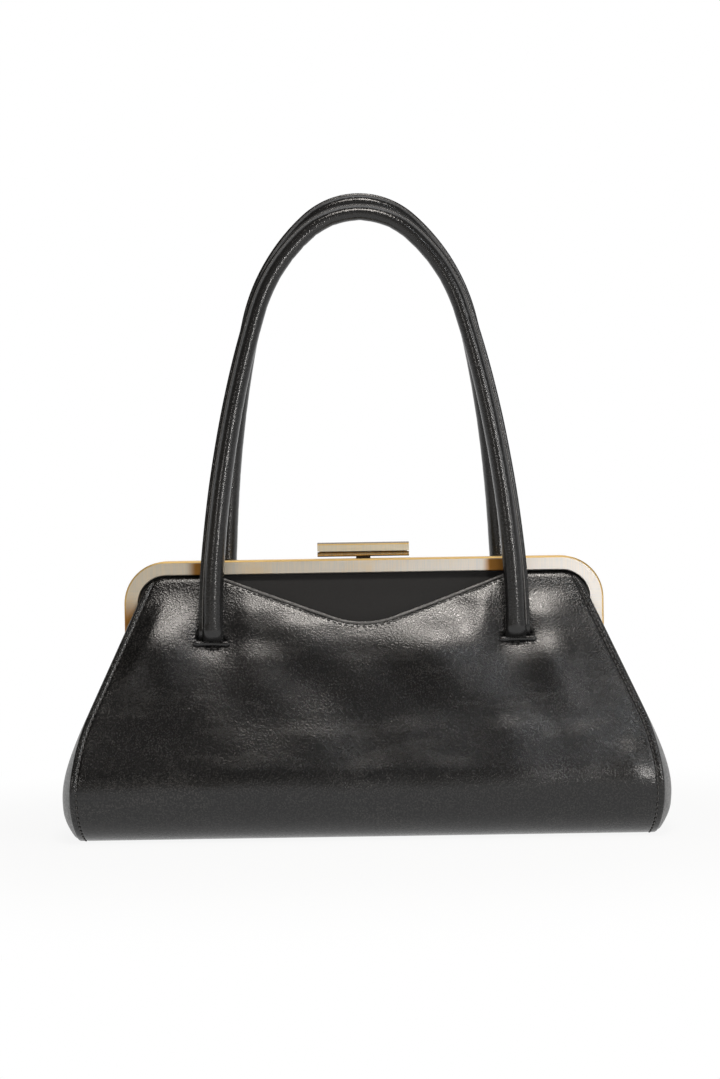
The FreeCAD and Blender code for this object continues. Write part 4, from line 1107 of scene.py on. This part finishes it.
class PURSE_OT_facings(bpy.types.Operator):
    """Matte leather facings between the frame and the necklines"""

    bl_idname = "purse.facings"
    bl_label = "Facings"

    FOOT = 99.5
    GAP = 0.5
    THICK = 1.3
    HALF_WIDTH = 112.0
    CORNER = 17.0
    CORNER_SHARE = 0.9
    # The top is drawn in by this much over these heights, to go into the channel.
    DRAWN_IN = 2.0
    DRAWN_HEIGHTS = (125.0, 131.0)
    # Distance out inside the channel, and what the facing lies back from the panel.
    CHANNEL_OUT = 7.9
    LIES_BACK = 0.35
    WAVE = 0.35
    RELIEF_LIMIT = 0.6

    def execute(self, context):
        body = Body()
        for side, hand in HANDS.items():
            high = top_of(f"{hand}_yoke") / MM
            height = high + (self.FOOT - high) * np.linspace(0.0, 1.0, 40)[:, None]
            rise = np.clip(height - (high - self.CORNER), 0.0, self.CORNER)
            corner = self.CORNER - np.sqrt(np.maximum(self.CORNER ** 2 - rise ** 2, 0.0))
            half = self.HALF_WIDTH - corner * self.CORNER_SHARE
            half = half - self.DRAWN_IN * smooth(height, *self.DRAWN_HEIGHTS)
            across = np.linspace(-1.0, 1.0, 110) * half
            below = body.lip - height
            run = np.maximum(below / body.cos, 0.0)
            skin_out = body.profile(run)[0] - (body.leather + self.GAP) / body.cos
            settled = np.where(height > body.lip, self.CHANNEL_OUT, skin_out)
            soft = self.WAVE * np.sin(across / 31.0) * np.sin(height / 12.0) * smooth(below, 0.0, 12.0)
            relief = np.minimum(body.relief(side, across, run), self.RELIEF_LIMIT)
            out = settled + soft - self.LIES_BACK + relief * smooth(below, 0.0, 10.0)
            layers = [grid(across, side * (out - layer), height) for layer in (0.0, self.THICK)]
            riding_piece(f"{hand}_facing", shell(*layers), "facing_leather", "yoke_leather", f"{hand}_half",
                         f"{hand}_yoke")
        return {"FINISHED"}


class HandleLine:
    """Centre line of a handle: long legs, tighter bends and a round crown, with feet in the slits."""

    # Half the spread of the feet, the rise, and the radii of the bends and the crown.
    SHAPES = {FRONT: (76.0, 211.5, 87.0, 39.2), REAR: (72.0, 220.0, 95.0, 38.4)}
    BEND_TURN = math.radians(48.0)
    # Stations: where they start inside the slit, where the close ones end, and their two spacings.
    START = -10.0
    CLOSE_END = 12.0
    CLOSE = 0.75
    APART = 1.8
    # A foot leans in to the panel by this much over a length of leg.
    LEAN_IN = 4.2
    LEAN_LENGTH = 70.0
    # And then dives into the slit: where the dive starts, how far it runs, and its depth after a length.
    DIVE_START = 4.4
    DIVE_RUN = 9.4
    DIVE_LENGTH = 7.2
    DIVE_DEPTH = 8.4
    SINK = 1.6
    WOBBLE = 0.35
    WOBBLE_START = (15.0, 50.0)

    def __init__(self, side):
        size = handle_sizes()
        half, rise, bend, crown = self.SHAPES[side]
        turn = self.BEND_TURN
        leg_in = half + (bend - crown) * math.cos(turn) - bend
        leg_up = rise - bend * math.sin(turn) - crown * (1 - math.sin(turn))
        leg_turn = 2 * math.atan(leg_in / leg_up)
        leg = leg_up / math.sin(leg_turn) + bend
        # Each arc has its centre across and up, its radius and the tilts at its two ends.
        self.arcs = (
            (leg - half, 0.0, leg, 0.0, leg_turn),
            (leg - half - (leg - bend) * math.cos(leg_turn), leg_up, bend, leg_turn, turn),
            (0.0, rise - crown, crown, turn, math.pi / 2),
        )
        self.length = sum(radius * (last - first) for _, _, radius, first, last in self.arcs)
        self.side = side
        self.slit = size.slit_height / MM
        self.stand_off = size.stand_off / MM
        self.lean = size.lean

    def flat(self, along):
        """Across, up and the tilt of the left half of the line, at a length from the foot."""
        across, up, tilt = [np.zeros_like(along) for _ in range(3)]
        done = 0.0
        for centre, level, radius, first, last in self.arcs:
            here = along >= done
            angle = first + np.clip((along - done) / radius, 0.0, last - first)
            across = np.where(here, centre - radius * np.cos(angle), across)
            up = np.where(here, level + radius * np.sin(angle), up)
            tilt = np.where(here, angle, tilt)
            done += radius * (last - first)
        return across, up, tilt

    def stations(self):
        """From the left foot to the right: points, directions out of the arch, and the length from the nearer
        foot and from the left one."""
        inside = np.arange(self.START, self.CLOSE_END, self.CLOSE)
        above = np.arange(self.CLOSE_END, self.length, self.APART)
        along = np.concatenate([inside, above, [self.length]])
        across, up, tilt = self.flat(np.maximum(along, 0.0))
        turn_in = np.clip(self.LEAN_LENGTH - along, 0.0, self.LEAN_LENGTH) / self.LEAN_LENGTH
        dive = np.clip(self.DIVE_START - along, 0.0, self.DIVE_RUN) / self.DIVE_LENGTH
        inward = self.LEAN_IN * turn_in ** 2 + self.DIVE_DEPTH * dive ** 2
        sink = np.clip(-along, 0.0, self.SINK)
        wobble = self.WOBBLE * np.sin(along / 31.0 + 0.8 * self.side) * smooth(along, *self.WOBBLE_START)
        y = self.side * (self.stand_off - up * math.sin(self.lean) - inward)
        z = self.slit + up * math.cos(self.lean) - sink
        left = grid(across + wobble, y, z)
        outward = grid(-np.cos(tilt), -self.side * np.sin(tilt) * math.sin(self.lean),
                       np.sin(tilt) * math.cos(self.lean))
        flip = np.array([-1.0, 1.0, 1.0])
        points = np.concatenate([left, left[-2::-1] * flip])
        outwards = np.concatenate([outward, outward[-2::-1] * flip])
        reach = np.concatenate([along, along[-2::-1]])
        order = np.concatenate([along, 2 * self.length - along[-2::-1]])
        return points, outwards, reach, order


class HandleRoll:
    """The padded roll about a handle's centre line, flattened at its feet, with a flange on the outside."""

    # Angles about the roll from the middle of the flange, closer together at the flange.
    HALF_TURN = np.array([0.0, 0.05, 0.10, 0.15, 0.20, 0.26, 0.34, 0.46, 0.62, 0.82, 1.05, 1.30, 1.57, 1.84,
                          2.10, 2.36, 2.62, 2.88])
    ANGLES = np.concatenate([HALF_TURN, [math.pi], -HALF_TURN[:0:-1]])
    OFF = np.abs(ANGLES)
    FLANGE_TURN = (0.11, 0.20)
    GROOVE_TURN = 0.27
    GROOVE_WIDTH = 0.08
    GROOVE_DEPTH = 0.035
    SEAM_TURN = 0.28
    # Shares of the way to the crown over which the flange narrows and the creases deepen.
    FLANGE_NARROWS = (0.55, 0.95)
    CREASES_DEEPEN = (0.62, 0.95)
    CREASE_DEPTH = 0.055
    CREASE_LEAST = 0.25
    INNER_TURN = (1.7, 3.0)
    LUMP_DEPTH = 0.02
    # Lengths from the foot over which its forms change.
    FLANGE_STARTS = (-3.0, 1.0)
    FOOT_FLAT = (-3.0, 4.0)
    FOOT_SQUARE = (0.0, 9.0)
    FOOT_PRESSED = (2.0, 16.0)
    CREASES_START = (8.0, 30.0)
    BEAD_GROWS = (2.0, 6.0)
    # Depth of the roll as a share of its width, and what a foot loses of that and gains in half width.
    DEPTH_SHARE = 0.97
    FOOT_THINNER = 0.70
    FOOT_WIDER = 0.35
    # How square a foot gets, and how flat its back is pressed.
    SQUARENESS = 0.6
    PRESS = 0.6
    # Radius of the seam beads in the slit, and what they gain above it.
    BEAD_LEAST = 0.05
    BEAD_GAIN = 0.27

    def __init__(self, side):
        size = handle_sizes()
        line = HandleLine(side)
        self.side = side
        self.points, outwards, self.reach, self.order = line.stations()
        self.share = np.clip(self.reach / line.length, 0.0, 1.0)
        radius = (size.foot_radius + (size.crown_radius - size.foot_radius) * self.share) / MM
        narrowed = smooth(self.share, *self.FLANGE_NARROWS)
        flange = (size.flange + (size.crown_flange - size.flange) * narrowed) / MM
        self.flange = flange * smooth(self.reach, *self.FLANGE_STARTS)
        ahead = unit(np.gradient(self.points, axis=0))
        self.wide = unit(outwards - (outwards * ahead).sum(1, keepdims=True) * ahead)
        self.deep = np.cross(ahead, self.wide)
        flat = 1 - smooth(self.reach, *self.FOOT_FLAT)
        self.half_wide = radius - self.flange / 2 + self.FOOT_WIDER * flat
        self.half_deep = radius * (self.DEPTH_SHARE - self.FOOT_THINNER * flat)

    def pinch(self):
        """What is left of the half sizes at each place by creases inside the arch, grooves and lumps."""
        crease = np.maximum(np.sin(self.order / 1.9 + 2.2 * np.sin(self.order / 11.0)), 0.0) ** 5
        deepened = smooth(self.share, *self.CREASES_DEEPEN)
        crease = crease * (self.CREASE_LEAST + (1 - self.CREASE_LEAST) * deepened)
        crease = crease * smooth(self.reach, *self.CREASES_START)
        lumps = 0.12 * np.sin(self.order / 9.0 + self.side) + 0.10 * np.sin(self.order / 5.3)
        groove = hump(self.OFF, self.GROOVE_TURN, self.GROOVE_WIDTH)
        pinch = 1 - (self.CREASE_DEPTH * crease)[:, None] * smooth(self.OFF, *self.INNER_TURN)
        pinch = pinch - self.GROOVE_DEPTH * groove
        return pinch + (self.LUMP_DEPTH * lumps)[:, None] * np.cos(2 * self.ANGLES)

    def rings(self):
        """Points around the roll at each station."""
        pinch = self.pinch()
        flange = self.flange[:, None]
        fin = 1 - smooth(self.OFF, *self.FLANGE_TURN)
        by_wide = self.half_wide[:, None] * np.cos(self.ANGLES) * pinch - flange / 2 + flange * fin
        # Squarer toward the feet, so that the whole width goes in at the slit.
        square = 1 - self.SQUARENESS * (1 - smooth(self.reach, *self.FOOT_SQUARE))
        sine = np.sin(self.ANGLES)
        by_deep = self.half_deep[:, None] * (np.sign(sine) * np.abs(sine) ** square[:, None]) * pinch
        # Pressed against the panel on the back of the feet.
        pressed = self.PRESS * (1 - smooth(self.reach, *self.FOOT_PRESSED))
        behind = by_deep * self.side * self.deep[:, 1:2] < 0
        by_deep = np.where(behind, by_deep * (1 - pressed[:, None]), by_deep)
        return rings_about(self.points, self.wide, self.deep, by_wide, by_deep)

    def bead(self, turn):
        """Mesh of the bead along one side of the flange."""
        by_wide = self.half_wide * math.cos(turn) - self.flange / 2
        by_deep = self.half_deep * math.sin(turn)
        path = self.points + by_wide[:, None] * self.wide + by_deep[:, None] * self.deep
        return round_tube(path, self.BEAD_LEAST + self.BEAD_GAIN * smooth(self.reach, *self.BEAD_GROWS), 8)


class PURSE_OT_handles(bpy.types.Operator):
    """Rolled handles with a sewn flange along the outside, beads beside it and soft flattened feet"""

    bl_idname = "purse.handles"
    bl_label = "Handles"

    # Where a foot would bend when its handle swings, below and above the slit's upper edge, in metres;
    # nothing here bends it.
    BEND_BELOW = 0.001
    BEND_ABOVE = 0.010
    FILL = 0.9

    def execute(self, context):
        for side, hand in HANDS.items():
            roll = HandleRoll(side)
            piece = new_piece(f"{hand}_handle_roll", tube(roll.rings()), "handle_leather")
            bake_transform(piece)
            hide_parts(f"{hand}_handle_cover", f"{hand}_handle_core", f"{hand}_handle_necks")
            beads = [roll.bead(turn) for turn in (roll.SEAM_TURN, -roll.SEAM_TURN)]
            piece = new_piece(f"{hand}_handle_seams", joined(beads), "edge_leather")
            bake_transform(piece)
        return {"FINISHED"}


class PURSE_OT_foot_pieces(bpy.types.Operator):
    """Welts under the handle feet with their stitches, and the sewn tabs and patches behind them"""

    bl_idname = "purse.foot_pieces"
    bl_label = "Handle foot pieces"

    WELT_HALF = 9.2
    WELT_RADIUS = 1.5
    WELT_BELOW = 3.4
    WELT_ARCH = 0.7
    WELT_PROUD = 0.5
    WELT_END = 9.4
    STITCH_BELOW = 2.8
    STITCH_PITCH = 0.97
    # Pads: half width, half height and thickness.
    TAB = (6.2, 5.2, 2.0)
    TAB_BELOW = 6.2
    TAB_OUT = 1.9
    PATCH = (9.8, 7.8, 1.0)
    PAD_CORNER = 0.06

    def pad(self, x, y, z, half_wide, half_high, thick):
        """Mesh of an upright soft pad about a place, thin along its edges, with rounded corners."""
        across = np.linspace(-1.0, 1.0, 15)
        up = np.linspace(-1.0, 1.0, 13)[:, None]
        edge = np.maximum(np.abs(across), np.abs(up))
        swell = np.sqrt(np.maximum(1 - edge ** 6, 0.0)) * thick / 2
        wide = x + half_wide * across * (1 - self.PAD_CORNER * up ** 4)
        high = z + half_high * up * (1 - self.PAD_CORNER * across ** 4)
        return shell(grid(wide, y + swell, high), grid(wide, y - swell, high))

    def execute(self, context):
        body = Body()
        pitch = sizes().pitch / MM * self.STITCH_PITCH
        thick = sizes().thread / MM
        slit = handle_sizes().slit_height / MM
        offset = np.linspace(-self.WELT_HALF, self.WELT_HALF, 41)
        run = body.run_at(slit - self.WELT_BELOW) - self.WELT_ARCH * (1 - (offset / self.WELT_HALF) ** 2)
        radius = self.WELT_RADIUS * np.sqrt(np.maximum(1 - (np.abs(offset) / self.WELT_END) ** 8, 0.04))
        for side, hand in HANDS.items():
            low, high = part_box(f"{hand}_handle_patches")
            patch_y = (low.y + high.y) / 2 / MM
            patch_z = (low.z + high.z) / 2 / MM
            tab_y = patch_y + side * self.TAB_OUT
            welts = []
            threads = []
            tabs = []
            patches = []
            for end in ENDS:
                foot = end * foot_spread(side)
                path = body.place(side, foot + offset, run, -self.WELT_PROUD)
                welts.append(round_tube(path, radius, 14, up=(0.0, side, 0.0)))
                seam = body.seam(side, foot + offset, run + self.STITCH_BELOW)
                threads.append(stitch_row(*seam, pitch, thick))
                tabs.append(self.pad(foot, tab_y, slit - self.TAB_BELOW, *self.TAB))
                patches.append(self.pad(foot, patch_y, patch_z, *self.PATCH))
            half = f"{hand}_half"
            riding_piece(f"{hand}_foot_welts", joined(welts), "panel_leather", "panel_leather", half,
                         f"{hand}_handle_welts")
            riding_piece(f"{hand}_welt_stitches", joined(threads), "thread", "panel_leather", half)
            riding_piece(f"{hand}_foot_tabs", joined(tabs), "handle_leather", "handle_leather", half)
            riding_piece(f"{hand}_foot_patches", joined(patches), "facing_leather", "yoke_leather", half,
                         f"{hand}_handle_patches")
        return {"FINISHED"}


class PURSE_OT_filler_cords(bpy.types.Operator):
    """Twisted paper cords pressed into the frame channels"""

    bl_idname = "purse.filler_cords"
    bl_label = "Filler cords"

    STRANDS = 3
    # Length along the cord from one strand to the next.
    LAY = 7.0
    GROOVE = 0.10
    # The frame's half width and the radius of its outer corners.
    FRAME_HALF = 120.0
    FRAME_CORNER = 21.0

    def path(self, low, high, thick):
        """Centre line of a cord, up one arm, over and down the other, and the length along it."""
        half = high.x / MM - thick / 2
        top = high.z / MM - thick / 2
        corner = self.FRAME_CORNER - (self.FRAME_HALF - half)
        turn_z = top - corner
        quarter = np.linspace(0.0, math.pi / 2, 24)
        arm_z = np.linspace(low.z / MM, turn_z, 40)[:-1]
        left_x = np.concatenate([np.full(len(arm_z), -half), -half + corner - corner * np.cos(quarter)])
        left_z = np.concatenate([arm_z, turn_z + corner * np.sin(quarter)])
        middle = np.linspace(-half + corner, half - corner, 160)[1:-1]
        x = np.concatenate([left_x, middle, -left_x[::-1]])
        z = np.concatenate([left_z, np.full(len(middle), top), left_z[::-1]])
        path = grid(x, (low.y + high.y) / 2 / MM, z)
        lengths = lengths_along(path)
        even = np.linspace(0.0, lengths[-1], 380)
        return at_lengths(even, lengths, path), even

    def execute(self, context):
        for hand in HANDS.values():
            low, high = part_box(f"{hand}_frame_cord")
            thick = (high.y - low.y) / MM
            path, along = self.path(low, high, thick)
            deep = np.tile([0.0, 1.0, 0.0], (len(path), 1))
            wide = np.cross(unit(np.gradient(path, axis=0)), deep)
            turns = np.linspace(0.0, 2 * math.pi, 16, endpoint=False)
            twist = 2 * math.pi * along / self.LAY / self.STRANDS
            bulge = np.cos(self.STRANDS * (turns - twist[:, None]))
            radius = thick / 2 * (1 - self.GROOVE + self.GROOVE * bulge)
            rings = rings_about(path, wide, deep, radius * np.cos(turns), radius * np.sin(turns))
            riding_piece(f"{hand}_filler_cord", tube(rings), "paper", "filler_cord", f"{hand}_half",
                         f"{hand}_frame_cord")
        return {"FINISHED"}


class PURSE_OT_metalwork(bpy.types.Operator):
    """Brushed brass on the frames, bars and rivets, with softened edges, and the stiffening board"""

    bl_idname = "purse.metalwork"
    bl_label = "Metalwork"

    # Nodes with their finish and the width, in metres, that their edges are softened by.
    DRESSED = (
        ("front_frame", "frame_brass", 0.0002),
        ("rear_frame", "frame_brass", 0.0002),
        ("rear_kiss_bar", "bar_brass", 0.00025),
        # The lower bar's brass carries painted shade.
        ("front_kiss_bar", "aged_brass", 0.00025),
        ("left_hinge_rivet", "bar_brass", 0.0),
        ("right_hinge_rivet", "bar_brass", 0.0),
        ("base_board", "board", 0.0004),
    )
    SHARP = math.radians(35)

    def execute(self, context):
        for node, finish, soften in self.DRESSED:
            piece = frame["nodes"][node]
            piece.data.materials.clear()
            piece.data.materials.append(finish_of(finish))
            if soften:
                bevel = piece.modifiers.new("softened edges", "BEVEL")
                bevel.width = soften
                bevel.segments = 2
                bevel.limit_method = "ANGLE"
                bevel.angle_limit = self.SHARP
                bevel.harden_normals = True
        return {"FINISHED"}


class PURSE_OT_bar_stop(bpy.types.Operator):
    """Rounded lip under the upper lock bar, behind the lower one"""

    bl_idname = "purse.bar_stop"
    bl_label = "Bar stop"

    RADIUS = 0.6
    BEHIND = 0.35
    END = 0.8
    RISE = 0.1

    def execute(self, context):
        low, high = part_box("front_kiss_bar")
        share = np.linspace(-1.0, 1.0, 60)
        along = np.linspace(low.x / MM + self.END, high.x / MM - self.END, len(share))
        ends = np.sqrt(np.maximum(1 - share ** 24, 0.02))
        path = grid(along, high.y / MM + self.BEHIND + self.RADIUS, high.z / MM + self.RISE)
        riding_piece("upper_bar_stop", round_tube(path, self.RADIUS * ends, 12), "bar_brass", "frame_brass",
                     "rear_half")
        return {"FINISHED"}


class PURSE_OT_stage(bpy.types.Operator):
    """Pale floor, soft studio light and the camera"""

    bl_idname = "purse.stage"
    bl_label = "Stage"

    WHITE = (1.0, 1.0, 1.0)
    WARM = (1.0, 0.945, 0.885)
    CREAM = (1.0, 0.97, 0.94)
    COOL = (0.86, 0.93, 1.0)
    AMBER = (1.0, 0.88, 0.72)
    MIDDLE = (0.0, 0.0, 0.10)
    RIGHT_HIP = (0.136, -0.040, 0.044)
    # Lamps: name, place, aim, width and height, setting that holds the power, share of it, and colour.
    LAMPS = (
        ("right_softbox", (0.11, -0.77, 1.15), MIDDLE, (0.22, 0.23), "key", 1.0, WARM),
        ("left_softbox", (-0.11, -0.77, 1.15), MIDDLE, (0.18, 0.20), "fill", 1.0, WARM),
        ("side_softbox", (0.75, -0.75, 0.55), MIDDLE, (0.30, 0.50), "side", 1.0, WHITE),
        ("right_strip", (0.42, -0.95, 0.30), MIDDLE, (0.030, 0.42), "strip", 1.0, CREAM),
        ("left_strip", (-0.50, -0.90, 0.34), MIDDLE, (0.06, 0.22), "strip", 0.22, CREAM),
        ("hip_light", (0.23, -0.90, 0.73), RIGHT_HIP, (0.05, 0.05), "hip", 1.0, COOL),
        ("top_softbox", (0.0, 0.15, 1.7), MIDDLE, (1.2, 0.5), "top", 1.0, WHITE),
    )
    FLOOR_REACH = 12.0
    FLOOR_LEVEL = -0.0002

    def floor_finish(self):
        """Pale paper that is white where it is seen, and keeps the purse's shadow close around it."""
        finish = Finish(bpy.data.materials.new("studio_floor"))
        where = finish.place()
        tone = tone_of("floor")
        grain = finish.noise(where, 14.0, detail=2.0)
        colour = finish.tint(grain * 0.15, tone, tuple(0.97 * part for part in tone))
        matte = finish.node("ShaderNodeBsdfDiffuse", sockets={"Color": colour})
        glow = finish.node("ShaderNodeEmission", sockets={"Color": self.WHITE, "Strength": 1.0})
        away = finish.node("ShaderNodeVectorMath", {"operation": "LENGTH"}, {0: where}, out="Value")
        behind = finish.spread(finish.axes(where)[1], -0.50, -0.25)
        glowing = finish.spread(away, 0.14, 0.40, to_low=0.90, to_high=1.0)
        seen = finish.seen(0.25 + behind * 0.65)
        mixed = finish.node("ShaderNodeMixShader", sockets={0: seen * glowing, 1: matte, 2: glow})
        finish.node("ShaderNodeOutputMaterial", sockets={"Surface": mixed})
        return finish.owner

    def floor(self):
        reach = self.FLOOR_REACH
        mesh = bpy.data.meshes.new("floor")
        mesh.from_pydata([(-reach, -reach, 0), (reach, -reach, 0), (reach, reach, 0), (-reach, reach, 0)], [],
                         [(0, 1, 2, 3)])
        mesh.materials.append(self.floor_finish())
        floor = bpy.data.objects.new("floor", mesh)
        floor.location.z = self.FLOOR_LEVEL
        bpy.context.scene.collection.objects.link(floor)

    def sky(self):
        """White where it is seen, and a soft room for light and reflections: bright low down, dim above."""
        world = bpy.data.worlds.new("studio")
        bpy.context.scene.world = world
        finish = Finish(world)
        across, ahead, height = finish.axes(finish.node("ShaderNodeTexCoord", out="Generated"))
        level = (finish.spread(height, 0.05, 0.36, to_low=0.58, to_high=0.08)
                 * finish.spread(across, -0.16, 0.16, to_low=0.45, to_high=1.05))
        shade = finish.tint(finish.spread(across, -0.16, 0.10), self.AMBER, self.WHITE)
        light = finish.node("ShaderNodeBackground", sockets={"Color": shade, "Strength": level})
        white = finish.node("ShaderNodeBackground", sockets={"Color": self.WHITE, "Strength": 1.0})
        seen = finish.seen(finish.spread(ahead, -0.1, 0.3))
        mixed = finish.node("ShaderNodeMixShader", sockets={0: seen, 1: light, 2: white})
        finish.node("ShaderNodeOutputWorld", sockets={"Surface": mixed})

    def softbox(self, name, place, aim, size, power, colour):
        light = bpy.data.lights.new(name, "AREA")
        light.shape = "RECTANGLE"
        light.size, light.size_y = size
        light.energy = power
        light.color = colour
        lamp = bpy.data.objects.new(name, light)
        lamp.location = place
        lamp.rotation_euler = (Vector(aim) - Vector(place)).to_track_quat("-Z", "Y").to_euler()
        bpy.context.scene.collection.objects.link(lamp)

    def camera(self, studio):
        data = bpy.data.cameras.new("camera")
        data.sensor_fit = "VERTICAL"
        data.sensor_height = 36.0
        data.lens = data.sensor_height * studio.distance / studio.span
        data.clip_start = 0.05
        lens = bpy.data.objects.new("camera", data)
        eye = Vector((studio.aside, -studio.distance, studio.eye))
        aim = Vector((studio.aside, 0.0, studio.aim))
        turn = (aim - eye).to_track_quat("-Z", "Y").to_matrix().to_4x4()
        roll = turn @ Matrix.Rotation(studio.tilt, 4, "Z")
        roll.translation = eye
        lens.matrix_world = roll
        bpy.context.scene.collection.objects.link(lens)
        bpy.context.scene.camera = lens

    def execute(self, context):
        studio = bpy.context.scene.purse_studio
        bpy.context.scene.view_settings.view_transform = "Standard"
        self.floor()
        self.sky()
        for name, place, aim, size, setting, share, colour in self.LAMPS:
            self.softbox(name, place, aim, size, share * getattr(studio, setting), colour)
        self.camera(studio)
        return {"FINISHED"}


class PURSE_PT_pieces(bpy.types.Panel):
    """Lists the purse's pieces and settings"""

    bl_idname = "PURSE_PT_pieces"
    bl_label = "Frame purse"
    bl_space_type = "VIEW_3D"
    bl_region_type = "UI"
    bl_category = "Purse"

    def draw(self, context):
        for operator in OPERATORS:
            self.layout.operator(operator.bl_idname)
        for name in SETTINGS:
            group = getattr(context.scene, name)
            box = self.layout.box()
            for prop in group.bl_rna.properties:
                if prop.identifier not in {"rna_type", "name"}:
                    box.prop(group, prop.identifier)


SETTINGS = {
    "purse_sizes": PurseSizes,
    "purse_handles": HandleSizes,
    "purse_colours": FinishColours,
    "purse_studio": StudioSettings,
}
OPERATORS = (
    PURSE_OT_panels,
    PURSE_OT_neckline_rolls,
    PURSE_OT_stitches,
    PURSE_OT_gussets,
    PURSE_OT_linings,
    PURSE_OT_base,
    PURSE_OT_facings,
    PURSE_OT_handles,
    PURSE_OT_foot_pieces,
    PURSE_OT_filler_cords,
    PURSE_OT_metalwork,
    PURSE_OT_bar_stop,
    PURSE_OT_stage,
)


def register():
    for group in SETTINGS.values():
        bpy.utils.register_class(group)
    for name, group in SETTINGS.items():
        setattr(bpy.types.Scene, name, bpy.props.PointerProperty(type=group))
    for operator in OPERATORS:
        bpy.utils.register_class(operator)
    bpy.utils.register_class(PURSE_PT_pieces)


def unregister():
    bpy.utils.unregister_class(PURSE_PT_pieces)
    for operator in reversed(OPERATORS):
        bpy.utils.unregister_class(operator)
    for name in SETTINGS:
        delattr(bpy.types.Scene, name)
    for group in reversed(list(SETTINGS.values())):
        bpy.utils.unregister_class(group)


def main():
    register()
    for operator in OPERATORS:
        group, name = operator.bl_idname.split(".")
        getattr(getattr(bpy.ops, group), name)()


if __name__ == "__main__":
    main()
